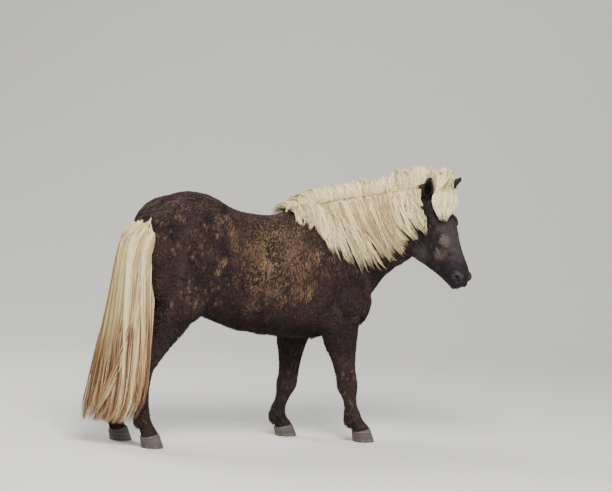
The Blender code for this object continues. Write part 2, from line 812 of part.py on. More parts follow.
def mane_point(place, share, side, lift, skin):
    """Point of the mane from the crest, share 0, to the tips, share 1."""
    root, ahead, left = mane_root(place)
    if side < 0:
        forward, out, down = between(MANE_RIGHT, place)
    else:
        forward, out, down = 0.03, MANE_LEFT_OUT, MANE_LEFT_DOWN
    tip = root + Vector((forward, 0, -down)) + left * out * side
    if side < 0:
        tip = root + Vector((forward, -out, -down))
    bow = 4 * share * (1 - share)
    point = root.lerp(tip, share) + left * side * MANE_ARCH * bow
    point.z += between(MANE_FLUFF, place) * (1 - share) ** 3
    return clear_of_skin(point, skin, lift)


def lock(path, normals, width, thickness):
    """Flat lock of hair along a path: full at its middle, tapering to a soft tip.

    Its upper and lower faces are split along like diagonals, so that they stay apart where it twists.
    """
    last = len(path) - 1
    runs = [path[min(k + 1, last)] - path[max(k - 1, 0)] for k in range(last + 1)]
    sides = [run.cross(normal).normalized() for run, normal in zip(runs, normals)]
    sides[0] = sides[1]
    points = []
    for k, point in enumerate(path):
        share = k / last
        rise = sides[k].cross(runs[k]).normalized()
        half = sides[k] * width / 2 * max(0.10, math.sin(math.pi * (0.09 + 0.91 * share ** 0.7)) ** 0.8)
        thick = thickness * (1 - 0.72 * share)
        points += [point + half, point + rise * thick, point - half, point - rise * thick * LOCK_BELLY]
    faces = [(3, 2, 1, 0), tuple(range(4 * last, 4 * last + 4))]
    for k in range(last):
        for edge in (0, 2):
            for middle in (1, 3):
                a, b = 4 * k + edge, 4 * k + middle
                faces += [(a, b, b + 4), (a, b + 4, a + 4)]
    body = mesh_object("lock", points, faces)
    turn_faces_out(body.data)
    return body


def mane_core(skin):
    """Saddle of dense hair over the crest, nearly half way to the tips on both sides."""
    rings = []
    steps = 2
    for k in range(len(NECK)):
        place = max(k, 0.25)
        outer, inner = [], []
        for j in range(-steps, steps + 1):
            share, side = MANE_CORE_SHARE * abs(j) / steps, 1 if j > 0 else -1
            outer.append(mane_point(place, share, side, MANE_CORE_DEPTH * (1 - share), skin))
            near, normal, _, _ = skin.find_nearest(mane_point(place, share, side, 0.0, skin))
            inner.append(near - normal * MANE_ROOT_DEPTH * (1 - share))
        rings.append(outer + inner[::-1])
    return loft("mane_core", rings)


def mane_locks(side, settings, skin, draw):
    """Locks rooted along the crest that arch over it and lie down one side of the neck."""
    count, width, thickness, layers = settings
    locks = []
    first, last = MANE_PLACES
    for k in range(count):
        place = first + (last - first) * (k + 0.5 + draw.uniform(-0.2, 0.2)) / count
        drift = draw.uniform(-0.12, 0.16)
        reach = draw.uniform(0.90, 1.04)
        lift = layers[k % 2] + draw.uniform(-0.002, 0.003)
        path = [mane_point(place, 0.0, side, 0.0, skin) - Vector((0, 0, MANE_SUNK))]
        for j in range(LOCK_POINTS):
            share = reach * (0.04 + 0.96 * j / (LOCK_POINTS - 1))
            along = place + drift * share ** 2
            height = lift * (1 - 0.45 * share)
            path.append(mane_point(along, share, side, height, skin))
        normals = []
        for point in path:
            near, normal, _, _ = skin.find_nearest(point)
            normals.append(normal)
        normals[0] = normals[1]
        locks.append(lock(path, normals, width * draw.uniform(0.85, 1.15), thickness))
    return locks


def forelock_point(section, turn, spread):
    along, up, middle, half, thick = between(FORELOCK, section)
    rise = up - thick / 2 + thick / 2 * math.sin(turn) * spread
    return head_point((along, rise, middle + half * math.cos(turn) * spread))


def forelock_core():
    """Mound of dense hair over the poll."""
    rings = []
    for k in range(2 * FORELOCK_CORE_SECTIONS):
        spread = 0.80 - 0.08 * k
        rings.append([forelock_point(k / 2, 2 * math.pi * j / 8, spread) for j in range(8)])
    return loft("forelock_core", rings)


def forelock_locks(draw):
    """Locks that fan from the poll down the forehead."""
    count, width, thickness, layers = FORELOCK_LOCKS
    brow = head_axes()[1]
    locks = []
    last = len(FORELOCK) - 1
    for k in range(count):
        turn = math.radians(170 - 160 * k / (count - 1)) + draw.uniform(-0.06, 0.06)
        reach = last * draw.uniform(0.86, 1.02)
        path = []
        for j in range(LOCK_POINTS + 1):
            section = 0.3 + (reach - 0.3) * j / LOCK_POINTS
            spread = 0.55 if j == 0 else layers[k % 2]
            path.append(forelock_point(section, turn, spread))
        normals = [(brow * math.sin(turn) + head_axes()[2] * math.cos(turn) * 0.6).normalized()] * len(path)
        locks.append(lock(path, normals, width * draw.uniform(0.85, 1.15), thickness))
    return locks


def tail_point(level, turn, spread):
    """Point of the tail's outline at a fractional section, spread 1 at its surface."""
    heights = [section[0] for section in TAIL]
    rear, front = between([t[1] for t in TAIL], level), between([t[2] for t in TAIL], level)
    thick = between([t[3] for t in TAIL], level)
    middle, half = (rear + front) / 2, (front - rear) / 2
    normal = Vector((-half.y, half.x)).normalized()
    flat = middle + half * math.cos(turn) * spread + normal * thick * math.sin(turn) * spread
    return Vector((flat.x, flat.y, between(heights, level)))


def tail_core(skin):
    """Dock and dense hair, half way down the tail."""
    rings = []
    for k in range(TAIL_CORE_SECTIONS):
        spread = TAIL_CORE_SPREAD * (1 - 0.5 * (k / (TAIL_CORE_SECTIONS - 1)) ** 2)
        ring = [tail_point(k / 2, 2 * math.pi * j / 10, spread) for j in range(10)]
        if k > 1:
            ring = [clear_of_skin(p, skin, TAIL_CLEARANCE) for p in ring]
        rings.append(ring)
    return loft("tail", rings, material("tail_hair", CREAM_HAIR))


def tail_locks(skin, draw):
    """Locks that leave the dock all round and fall to uneven tips."""
    count, width, thickness, layers = TAIL_LOCKS
    locks = []
    last = len(TAIL) - 1
    for k in range(count):
        turn = 2 * math.pi * (k + draw.uniform(-0.25, 0.25)) / count
        drift = draw.uniform(-0.18, 0.18)
        start = 0.4 + 1.2 * draw.random()
        reach = last - 1.3 * draw.random() ** 2
        spread = layers[k % 2] + draw.uniform(-0.03, 0.03)
        path, normals = [], []
        for j in range(LOCK_POINTS + 2):
            share = j / (LOCK_POINTS + 1)
            level = start + (reach - start) * share
            aim = turn + drift * share
            wide = spread * min(1.0, 0.55 + 3.0 * share)
            point = clear_of_skin(tail_point(level, aim, wide), skin, TAIL_CLEARANCE)
            path.append(point)
            outward = tail_point(level, aim, 1.1) - tail_point(level, aim, 0.9)
            normals.append(outward.normalized())
        locks.append(lock(path, normals, width * draw.uniform(0.85, 1.15), thickness))
    return locks


def body_forms():
    forms = [trunk_form(), neck_form(), *muscle_forms(), *head_forms()]
    for joints, side in ((FORE_RIGHT, -1), (FORE_LEFT, 1)):
        forms.append(leg_form(joints, FORE_GIRTHS, side))
    for joints, side in ((HIND_RIGHT, -1), (HIND_LEFT, 1)):
        forms += [leg_form(joints, HIND_GIRTHS, side), hock_form(joints, side)]
    return forms


def neck_plane():
    (x0, z0), (x1, z1) = NECK_CUT
    ahead = Vector((z0 - z1, 0, x1 - x0)).normalized()
    return Vector((x0, 0, z0)), ahead, Vector((0, 1, 0))


def head_plane():
    """Cut between the ears' back and the throat, square to the neck's end."""
    top, low = (head_point((*p, 0)) for p in HEAD_CUT)
    across = Vector((*NECK_END_HEADING, 0)).normalized()
    ahead = across.cross(low - top).normalized()
    if ahead.dot(head_axes()[0]) < 0:
        ahead = -ahead
    return top, ahead, across


def part_at(body, plane, name_back, name_front):
    """The two sides of a thin cut through body."""
    point, ahead, across = plane
    front = copy_of(body, name_front)
    boolean(front, [half_space("ahead", point + ahead * CUT_GAP / 2, ahead, across)], "INTERSECT")
    back = copy_of(body, name_back)
    boolean(back, [half_space("behind", point - ahead * CUT_GAP / 2, -ahead, across)], "INTERSECT")
    discard([body])
    return back, front


def move_origin(bodies):
    """Moves all bodies so that z = 0 is the floor and the origin is under the middle of their box."""
    places = np.array([v.co[:] for body in bodies for v in body.data.vertices])
    low, high = places.min(axis=0), places.max(axis=0)
    shift = Matrix.Translation((-(low[0] + high[0]) / 2, -(low[1] + high[1]) / 2, -low[2]))
    for body in bodies:
        body.data.transform(shift)


def main():
    clear_scene()
    coat = material("coat", COAT)
    forms = body_forms()
    flesh = fuse_flesh("flesh", forms, BODY_VOXEL, 16, body_weight)
    discard(forms)
    skin_tree = BVHTree.FromObject(flesh, bpy.context.evaluated_depsgraph_get())
    thin_out(flesh, BODY_FACES)
    rear, front = part_at(flesh, neck_plane(), "torso", "front")
    neck, rough_head = part_at(front, head_plane(), "neck", "rough_head")
    discard([rough_head])

    head_pieces = head_forms() + [neck_form()]
    fine = fuse_flesh("fine_head", head_pieces, HEAD_VOXEL, 6, even_weight)
    discard(head_pieces)
    thin_out(fine, HEAD_FACES)
    stub, head = part_at(fine, head_plane(), "stub", "head")
    discard([stub])
    lid_radii = [EYE_RADIUS + LID_THICKNESS] * 3
    lid_places = [head_point(EYE_PLACE, side) for side in (-1, 1)]
    lids = [ball("lid", place, lid_radii, head_turn(), EYE_SEGMENTS) for place in lid_places]
    boolean(head, lids, "UNION")
    cutters = [mouth_cutter()]
    for side in (-1, 1):
        cutters += [*eye_cutters(side), nostril_cutter(side)]
    for cutter in cutters:
        boolean(head, [cutter], "DIFFERENCE")

    ears = [ear("ear_" + word, side) for word, side in (("right", -1), ("left", 1))]
    draw = random.Random(LOCK_SEED)
    boolean(head, [forelock_core(), *forelock_locks(draw)], "UNION")
    cut_round_ears(head)
    keep_largest(head)
    right = mane_locks(-1, MANE_RIGHT_LOCKS, skin_tree, draw)
    left = mane_locks(1, MANE_LEFT_LOCKS, skin_tree, draw)
    boolean(neck, [mane_core(skin_tree), *right, *left], "UNION")
    cut_clear(neck, (rear, head))
    cut_round_ears(neck)

    legs = (("fore_right", FORE_RIGHT, -1), ("fore_left", FORE_LEFT, 1),
            ("hind_right", HIND_RIGHT, -1), ("hind_left", HIND_LEFT, 1))
    nodes = [neck, head]
    for name, joints, side in legs:
        fore = name.startswith("fore")
        if fore:
            region = fore_region("region", joints, side, GAP)
        else:
            region = hind_region("region", side, GAP)
        leg = boolean(copy_of(rear, name + "_leg"), [region], "INTERSECT")
        boolean(leg, [hoof_region("below", joints, side, GAP)], "DIFFERENCE")
        nodes += [leg, hoof(name + "_hoof", joints, side)]
    for name, joints, side in legs:
        fore = name.startswith("fore")
        region = fore_region("region", joints, side) if fore else hind_region("region", side)
        boolean(rear, [region], "DIFFERENCE")
    tail = tail_core(skin_tree)
    boolean(tail, tail_locks(skin_tree, draw), "UNION")
    hind_legs = [n for n in nodes if n.name.startswith("hind")]
    cut_clear(tail, (rear, *hind_legs))
    nodes += [rear, tail]
    for node in nodes:
        drop_slivers(keep_largest(node))
        if not node.data.materials:
            node.data.materials.append(coat)
    eyes = [eye("eye_" + word, side) for word, side in (("right", -1), ("left", 1))]
    move_origin([*nodes, *ears, *eyes])


if __name__ == "__main__":
    main()
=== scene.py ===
"""Icelandic horse in a long winter coat: skin, fur, mane, tail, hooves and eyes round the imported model.

The horse faces +X and stands on z = 0, in metres. The skin is modelled from the same sections as
the solids and lies inside them by the coat's depth. All hair is mesh rooted on that skin.
"""

import math

import bmesh
import bpy
import numpy as np
from bpy.props import FloatProperty, FloatVectorProperty, IntProperty, PointerProperty
from mathutils import Matrix, Vector
from mathutils.bvhtree import BVHTree


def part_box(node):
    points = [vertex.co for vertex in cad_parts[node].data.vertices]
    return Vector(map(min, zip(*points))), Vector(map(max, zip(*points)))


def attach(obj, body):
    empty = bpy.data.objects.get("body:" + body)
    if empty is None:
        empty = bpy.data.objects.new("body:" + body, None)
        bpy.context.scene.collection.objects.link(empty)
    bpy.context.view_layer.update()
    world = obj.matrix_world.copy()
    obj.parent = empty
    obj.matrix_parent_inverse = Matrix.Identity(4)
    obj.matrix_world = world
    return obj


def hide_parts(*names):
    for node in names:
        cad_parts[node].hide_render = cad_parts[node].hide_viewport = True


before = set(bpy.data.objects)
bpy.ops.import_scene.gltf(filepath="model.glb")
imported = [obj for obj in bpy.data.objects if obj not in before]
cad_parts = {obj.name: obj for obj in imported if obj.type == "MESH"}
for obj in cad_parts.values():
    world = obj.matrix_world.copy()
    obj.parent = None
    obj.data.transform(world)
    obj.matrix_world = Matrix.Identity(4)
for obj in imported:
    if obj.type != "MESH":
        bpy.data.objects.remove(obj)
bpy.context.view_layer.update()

bl_info = {
    "name": "Icelandic horse coat",
    "version": (1, 0, 0),
    "blender": (4, 5, 0),
    "location": "View3D > Sidebar > Horse",
    "description": "Builds the skin, coat, mane, tail, hooves and eyes of a life-size horse",
    "category": "Add Mesh",
}

# Trunk sections: place along the body, top, underside, half width, level of the widest point
TRUNK = (
    (-0.760, 1.160, 1.000, 0.035, 1.08),
    (-0.737, 1.225, 0.900, 0.115, 1.06),
    (-0.690, 1.281, 0.830, 0.172, 1.06),
    (-0.620, 1.338, 0.780, 0.208, 1.07),
    (-0.530, 1.375, 0.745, 0.230, 1.08),
    (-0.440, 1.385, 0.728, 0.240, 1.08),
    (-0.360, 1.374, 0.702, 0.243, 1.07),
    (-0.290, 1.345, 0.675, 0.250, 1.04),
    (-0.210, 1.301, 0.645, 0.260, 1.00),
    (-0.120, 1.276, 0.622, 0.272, 0.96),
    (0.000, 1.262, 0.606, 0.280, 0.92),
    (0.080, 1.268, 0.597, 0.275, 0.90),
    (0.160, 1.293, 0.588, 0.260, 0.89),
    (0.250, 1.318, 0.582, 0.240, 0.88),
    (0.340, 1.310, 0.586, 0.220, 0.88),
    (0.430, 1.250, 0.615, 0.202, 0.88),
    (0.520, 1.140, 0.645, 0.180, 0.88),
    (0.590, 1.020, 0.690, 0.150, 0.87),
    (0.640, 0.940, 0.745, 0.105, 0.86),
    (0.664, 0.890, 0.800, 0.045, 0.85),
)
TRUNK_SQUARENESS = 2.25

# Neck sections: crest point, throat-side point, half width. The neck bends to the right.
NECK = (
    ((0.160, 0.000, 1.285), (0.500, 0.000, 0.720), 0.160),
    ((0.275, -0.003, 1.318), (0.635, -0.004, 0.775), 0.160),
    ((0.385, -0.025, 1.345), (0.705, -0.030, 0.870), 0.138),
    ((0.495, -0.068, 1.370), (0.742, -0.075, 0.942), 0.118),
    ((0.600, -0.130, 1.394), (0.768, -0.130, 0.990), 0.105),
    ((0.700, -0.212, 1.420), (0.786, -0.186, 1.022), 0.100),
    ((0.785, -0.295, 1.446), (0.794, -0.236, 1.050), 0.096),
    ((0.850, -0.368, 1.462), (0.800, -0.286, 1.085), 0.090),
)
NECK_WIDEST = 0.42

# Muscle masses on each side of the trunk: centre, radii, lean of the top to the rear in degrees
MASSES = (
    ((0.395, 0.140, 1.030), (0.090, 0.068, 0.250), 36),
    ((0.450, 0.150, 0.800), (0.155, 0.075, 0.110), -14),
    ((0.560, 0.075, 0.790), (0.090, 0.085, 0.140), 0),
    ((0.350, 0.172, 0.720), (0.085, 0.055, 0.090), 0),
    ((-0.500, 0.110, 1.175), (0.235, 0.125, 0.185), 0),
    ((-0.320, 0.168, 1.180), (0.110, 0.062, 0.110), 0),
    ((-0.590, 0.145, 0.960), (0.155, 0.092, 0.250), 8),
    ((-0.480, 0.160, 0.800), (0.085, 0.076, 0.125), -20),
    ((-0.685, 0.095, 1.060), (0.070, 0.080, 0.150), 0),
)

# Leg joints of the pose as (along, out from the midline, up), from the top down
FORE_RIGHT = ((0.425, 0.160, 0.700), (0.497, 0.138, 0.337), (0.550, 0.132, 0.150), (0.602, 0.132, 0.068))
FORE_LEFT = ((0.312, 0.160, 0.700), (0.256, 0.132, 0.314), (0.206, 0.128, 0.134), (0.240, 0.128, 0.060))
HIND_RIGHT = ((-0.530, 0.160, 0.800), (-0.722, 0.136, 0.440), (-0.727, 0.136, 0.176), (-0.685, 0.138, 0.070))
HIND_LEFT = ((-0.535, 0.160, 0.800), (-0.772, 0.132, 0.440), (-0.800, 0.134, 0.174), (-0.760, 0.138, 0.068))

# Leg girths: bone counted from the top, share down it, reach to the front, to the back and sideways
FORE_GIRTHS = (
    (0, 0.00, 0.120, 0.140, 0.075),
    (0, 0.25, 0.096, 0.120, 0.067),
    (0, 0.50, 0.076, 0.096, 0.057),
    (0, 0.75, 0.061, 0.071, 0.049),
    (0, 0.92, 0.060, 0.062, 0.047),
    (1, 0.05, 0.061, 0.064, 0.048),
    (1, 0.22, 0.056, 0.058, 0.043),
    (1, 0.45, 0.041, 0.045, 0.034),
    (1, 0.70, 0.033, 0.042, 0.031),
    (1, 0.90, 0.037, 0.050, 0.036),
    (2, 0.10, 0.039, 0.055, 0.039),
    (2, 0.50, 0.036, 0.044, 0.036),
    (2, 1.00, 0.046, 0.048, 0.045),
)
HIND_GIRTHS = (
    (0, 0.00, 0.105, 0.150, 0.082),
    (0, 0.25, 0.098, 0.120, 0.076),
    (0, 0.50, 0.078, 0.086, 0.064),
    (0, 0.75, 0.058, 0.062, 0.050),
    (0, 0.94, 0.054, 0.066, 0.045),
    (1, 0.05, 0.047, 0.060, 0.044),
    (1, 0.20, 0.037, 0.047, 0.037),
    (1, 0.40, 0.029, 0.035, 0.030),
    (1, 0.72, 0.028, 0.034, 0.029),
    (1, 0.92, 0.034, 0.045, 0.035),
    (2, 0.10, 0.036, 0.052, 0.038),
    (2, 0.50, 0.034, 0.042, 0.035),
    (2, 1.00, 0.044, 0.046, 0.044),
)
LEGS = (("fore_right", FORE_RIGHT, FORE_GIRTHS, -1), ("fore_left", FORE_LEFT, FORE_GIRTHS, 1),
        ("hind_right", HIND_RIGHT, HIND_GIRTHS, -1), ("hind_left", HIND_LEFT, HIND_GIRTHS, 1))

# Hoof: the coronet's tilt, reach of the toe and heel from the coronet's middle, flare at the ground
CORONET_SLOPE = 0.22
HOOF_TOE = 0.082
HOOF_HEEL = 0.040
HOOF_HALF_WIDTH = 0.057
CORONET_TOE = 0.050
CORONET_HEEL = 0.052
CORONET_HALF_WIDTH = 0.048

# Head pose: its own frame runs from the poll to the muzzle, up its forehead and to its left
POLL = (0.858, -0.382, 1.463)
HEAD_YAW = 73.0
HEAD_PITCH = 56.0
HEAD_LENGTH = 0.572
# Head sections: share of length, forehead side, jaw side, half width, level of the widest point
HEAD = (
    (-0.10, -0.030, -0.235, 0.060, 0.50),
    (0.00, -0.008, -0.290, 0.076, 0.58),
    (0.10, 0.000, -0.330, 0.088, 0.64),
    (0.20, 0.004, -0.362, 0.096, 0.72),
    (0.31, 0.004, -0.366, 0.100, 0.76),
    (0.42, -0.002, -0.344, 0.095, 0.75),
    (0.52, -0.010, -0.310, 0.083, 0.73),
    (0.62, -0.016, -0.270, 0.072, 0.69),
    (0.72, -0.018, -0.232, 0.063, 0.65),
    (0.81, -0.018, -0.200, 0.058, 0.61),
    (0.89, -0.024, -0.176, 0.055, 0.57),
    (0.95, -0.038, -0.160, 0.048, 0.55),
    (0.985, -0.060, -0.138, 0.034, 0.55),
    (1.00, -0.080, -0.118, 0.016, 0.50),
)
HEAD_SQUARENESS = 2.35
# Masses on each side of the head: along, up the forehead, out, then the three radii
HEAD_MASSES = (
    (0.185, -0.165, 0.052, 0.100, 0.105, 0.036),
    (0.192, -0.042, 0.082, 0.042, 0.026, 0.022),
    (0.290, -0.108, 0.068, 0.080, 0.013, 0.013),
    (0.528, -0.060, 0.040, 0.030, 0.027, 0.018),
    (0.545, -0.092, 0.018, 0.034, 0.026, 0.030),
    (0.535, -0.142, 0.012, 0.032, 0.017, 0.024),
)
EYE_PLACE = (0.205, -0.066, 0.0755)
EYE_RADIUS = 0.0215
LID_THICKNESS = 0.0042
EYE_OPENING = (0.0190, 0.0125)
EYE_SLANT = 14.0
NOSTRIL_PLACE = (0.534, -0.058, 0.056)
NOSTRIL_RADII = (0.017, 0.0105, 0.020)
NOSTRIL_SLANT = 38.0
MOUTH_CORNER = (0.478, -0.126)
MOUTH_FRONT = (0.600, -0.112)
MOUTH_GAP = 0.003

# Ears: root on the head, reach forward, outward and up in the world, and the cup's sizes
EAR_ROOT = (0.034, -0.022, 0.064)
EAR_REACH = (0.070, 0.062, 0.098)
EAR_RADIUS = 0.0265
EAR_WALL = 0.0042
EAR_SECTIONS = ((-0.10, 0.70, 168), (0.08, 0.84, 150), (0.28, 1.00, 122), (0.50, 0.92, 108),
                (0.72, 0.64, 100), (0.90, 0.32, 92), (1.00, 0.13, 88))

# Mane: how far forward, out and down each side's tips lie from the crest, at each neck section
MANE_RIGHT = (
    (-0.020, 0.150, 0.060),
    (-0.048, 0.190, 0.148),
    (-0.005, 0.175, 0.305),
    (0.065, 0.087, 0.395),
    (0.100, 0.025, 0.394),
    (0.085, 0.005, 0.360),
    (0.005, 0.100, 0.281),
    (-0.060, 0.070, 0.262),
)
MANE_LEFT_OUT = 0.135
MANE_LEFT_DOWN = 0.150
MANE_FLUFF = (0.020, 0.040, 0.050, 0.052, 0.054, 0.062, 0.074, 0.070)
MANE_ARCH = 0.080
# How high the far side's hair stands over the crest at each neck section, and the near side's share of it
MANE_RISE = (0.070, 0.078, 0.080, 0.080, 0.084, 0.098, 0.120, 0.122)
MANE_PARTING = 0.45

# Forelock sections on the head: along it, up from the forehead, middle to the left, half width, thickness
FORELOCK = (
    (-0.050, 0.045, 0.000, 0.060, 0.055),
    (-0.010, 0.058, 0.010, 0.085, 0.068),
    (0.040, 0.050, 0.016, 0.104, 0.062),
    (0.090, 0.036, 0.006, 0.104, 0.050),
    (0.140, 0.024, -0.015, 0.084, 0.036),
    (0.185, 0.016, -0.044, 0.048, 0.022),
    (0.228, 0.012, -0.064, 0.018, 0.012),
)

# How high the forelock stands over the poll
FORELOCK_RISE = 0.138

# Tail sections: level, rear left edge, front right edge, half thickness
TAIL = (
    (1.208, (-0.775, 0.035), (-0.664, -0.112), 0.034),
    (1.150, (-0.797, 0.045), (-0.700, -0.135), 0.044),
    (1.080, (-0.808, 0.052), (-0.735, -0.145), 0.050),
    (0.950, (-0.822, 0.060), (-0.750, -0.180), 0.056),
    (0.800, (-0.842, 0.066), (-0.752, -0.196), 0.058),
    (0.650, (-0.870, 0.070), (-0.752, -0.205), 0.058),
    (0.500, (-0.902, 0.070), (-0.755, -0.205), 0.055),
    (0.330, (-0.948, 0.062), (-0.765, -0.198), 0.046),
    (0.200, (-0.985, 0.050), (-0.790, -0.180), 0.030),
    (0.130, (-1.005, 0.030), (-0.840, -0.140), 0.012),
)
TAIL_CLEARANCE = 0.010

# Fineness of the skin of the body and of the head
BODY_VOXEL = 0.0085
HEAD_VOXEL = 0.0042
# The head's skin runs this far back into the neck's
HEAD_OVERLAP = 0.05

# Camera: bearing and height over the ground in degrees, roll, distance, and the lens for a 36 mm frame
VIEW_BEARING = 26.0
VIEW_RISE = 5.0
VIEW_ROLL = 3.0
VIEW_DISTANCE = 14.0
VIEW_PIXELS = 2522.0
PICTURE = (612, 492)
# Where the point over the origin at this level shows in the picture
VIEW_TARGET_LEVEL = 0.75
VIEW_TARGET = (260.0, 306.5)

# Backdrop: where the floor starts to sweep up behind the horse, the sweep's radius, and how far it all runs
SWEEP_START = 4.0
SWEEP_RADIUS = 4.0
SWEEP_STEPS = 24
SWEEP_REACH = 25.0

COAT_BAKE_MAP = "OFBake"
TUFT_PATCH = 0.003
PIECE_TUFTS = 15000


def catmull(a, b, c, d, t):
    straight, bend, twist = c - a, 2 * a - 5 * b + 4 * c - d, 3 * b - a - 3 * c + d
    return 0.5 * (2 * b + straight * t + bend * t * t + twist * t ** 3)


def between(values, place):
    """Value at a fractional place along a row of numbers or points."""
    k = min(int(place), len(values) - 2)
    near = [values[max(k - 1, 0)], values[k], values[k + 1], values[min(k + 2, len(values) - 1)]]
    if not hasattr(values[0], "__len__"):
        return catmull(*near, place - k)
    return Vector([catmull(*four, place - k) for four in zip(*near)])


def mesh_object(name, points, faces):
    mesh = bpy.data.meshes.new(name)
    mesh.from_pydata([tuple(p) for p in points], [], faces)
    body = bpy.data.objects.new(name, mesh)
    bpy.context.scene.collection.objects.link(body)
    return body


def bake_modifiers(body):
    bpy.context.view_layer.update()
    graph = bpy.context.evaluated_depsgraph_get()
    mesh = bpy.data.meshes.new_from_object(body.evaluated_get(graph), depsgraph=graph)
    body.modifiers.clear()
    body.data = mesh
    return body


def discard(bodies):
    for body in bodies:
        bpy.data.objects.remove(body)


def egg(front, back, half_width, widest, across, squareness, sides):
    """Egg-shaped ring from the back point to the front one, broadest at the share called widest."""
    spine = front - back
    centre = back + spine * widest
    ahead = spine.normalized()
    points = []
    for k in range(sides):
        turn = 2 * math.pi * (k + 0.5) / sides
        rise, spread = math.sin(turn), math.cos(turn)
        rise = math.copysign(abs(rise) ** (2 / squareness), rise)
        spread = math.copysign(abs(spread) ** (2 / squareness), spread)
        reach = spine.length * (1 - widest if rise > 0 else widest)
        points.append(centre + ahead * rise * reach + across * spread * half_width)
    return points


def refine(rings, steps):
    """Rings with smooth ones added between them."""
    fine = []
    for k in range(len(rings) - 1):
        near = [rings[max(k - 1, 0)], rings[k], rings[k + 1], rings[min(k + 2, len(rings) - 1)]]
        for s in range(steps):
            fine.append([catmull(*four, s / steps) for four in zip(*near)])
    return fine + [rings[-1]]


def turn_out(mesh):
    edit = bmesh.new()
    edit.from_mesh(mesh)
    bmesh.ops.recalc_face_normals(edit, faces=edit.faces)
    edit.to_mesh(mesh)
    edit.free()


def loft(name, rings):
    """Closed skin through rings of equal count, with flat ends."""
    count = len(rings[0])
    points = [p for ring in rings for p in ring]
    faces = []
    for r in range(len(rings) - 1):
        for k in range(count):
            a, b = r * count + k, r * count + (k + 1) % count
            faces.append((a, b, b + count, a + count))
    faces.append(tuple(reversed(range(count))))
    faces.append(tuple(range(len(points) - count, len(points))))
    body = mesh_object(name, points, faces)
    turn_out(body.data)
    return body


def ball(name, centre, radii, turn=Matrix.Identity(4), segments=24):
    """Ellipsoid whose radii lie along the axes of turn."""
    edit = bmesh.new()
    bmesh.ops.create_uvsphere(edit, u_segments=segments, v_segments=segments // 2, radius=1.0)
    place = Matrix.Translation(centre) @ turn @ Matrix.Diagonal((*radii, 1.0))
    bmesh.ops.transform(edit, matrix=place, verts=edit.verts)
    bmesh.ops.recalc_face_normals(edit, faces=edit.faces)
    mesh = bpy.data.meshes.new(name)
    edit.to_mesh(mesh)
    edit.free()
    body = bpy.data.objects.new(name, mesh)
    bpy.context.scene.collection.objects.link(body)
    return body


def points_of(mesh):
    place = np.empty(len(mesh.vertices) * 3)
    mesh.vertices.foreach_get("co", place)
    return place.reshape(-1, 3)


def smooth_mesh(mesh, rounds, weight):
    """Rounds of smoothing that keep the volume; weight gives each point's share of the move."""
    place = points_of(mesh)
    count = len(place)
    edges = np.empty(len(mesh.edges) * 2, int)
    mesh.edges.foreach_get("vertices", edges)
    a, b = edges.reshape(-1, 2).T
    degree = np.bincount(np.concatenate((a, b)), minlength=count)[:, None]
    share = weight(place)[:, None]
    for _ in range(rounds):
        for pull in (0.60, -0.62):
            total = np.empty_like(place)
            for axis in range(3):
                near = np.concatenate((place[b, axis], place[a, axis]))
                total[:, axis] = np.bincount(np.concatenate((a, b)), weights=near, minlength=count)
            place = place + pull * share * (total / degree - place)
    mesh.vertices.foreach_set("co", place.ravel())
    mesh.update()


def fuse_flesh(name, pieces, voxel, rounds, weight):
    """One smooth closed skin round all the pieces."""
    points, faces = [], []
    for piece in pieces:
        start = len(points)
        points += [v.co.copy() for v in piece.data.vertices]
        faces += [tuple(start + i for i in p.vertices) for p in piece.data.polygons]
    body = mesh_object(name, points, faces)
    remesh = body.modifiers.new("fuse", "REMESH")
    remesh.mode = "VOXEL"
    remesh.voxel_size = voxel
    bake_modifiers(body)
    smooth_mesh(body.data, rounds, weight)
    return body


def carve(body, cutters, operation="DIFFERENCE"):
    """body after a Boolean with each of the others, which go."""
    for cutter in cutters:
        step = body.modifiers.new("carve", "BOOLEAN")
        step.operation = operation
        step.object = cutter
        bake_modifiers(body)
    discard(cutters)
    return body


def trunk_form():
    side = Vector((0, 1, 0))
    rings = []
    for x, top, low, half, widest in TRUNK:
        share = (widest - low) / (top - low)
        rings.append(egg(Vector((x, 0, top)), Vector((x, 0, low)), half, share, side, TRUNK_SQUARENESS, 40))
    return loft("trunk_form", refine(rings, 4))


def neck_form():
    rings = []
    for k, (top, low, half) in enumerate(NECK):
        before, after = Vector(NECK[max(k - 1, 0)][0]), Vector(NECK[min(k + 1, len(NECK) - 1)][0])
        heading = after - before
        side = Vector((-heading.y, heading.x, 0)).normalized()
        rings.append(egg(Vector(top), Vector(low), half, NECK_WIDEST, side, 2.0, 40))
    return loft("neck_form", refine(rings, 5))


def muscle_forms():
    forms = []
    for centre, radii, lean in MASSES:
        for side in (-1, 1):
            place = Vector((centre[0], centre[1] * side, centre[2]))
            forms.append(ball("muscle", place, radii, Matrix.Rotation(math.radians(-lean), 4, "Y")))
    return forms


def leg_form(joints, girths, side):
    """Leg from its top joint to the coronet, with rings square to each bone."""
    places = [Vector((x, y * side, z)) for x, y, z in joints]
    rings = []
    for bone, share, front, back, out in girths:
        a, b = places[bone], places[bone + 1]
        middle = a.lerp(b, share)
        run = (b - a).normalized()
        if share > 0.8 and bone + 2 < len(places):
            run = (run + (places[bone + 2] - b).normalized() * 0.5).normalized()
        ahead = Vector((-run.z, 0, run.x)).normalized()
        rings.append(egg(middle + ahead * front, middle - ahead * back, out, back / (front + back),
                         Vector((0, 1, 0)), 2.1, 28))
    last = places[-1] + (places[-1] - places[-2]).normalized() * 0.03
    rings.append([p + (last - places[-1]) for p in rings[-1]])
    return loft("leg_form", refine(rings, 4))


def hock_form(joints, side):
    """The point of the hock, behind and above its joint."""
    x, y, z = joints[1]
    turn = Matrix.Rotation(math.radians(-14), 4, "Y")
    return ball("hock", Vector((x - 0.040, y * side, z + 0.026)), (0.030, 0.028, 0.050), turn)


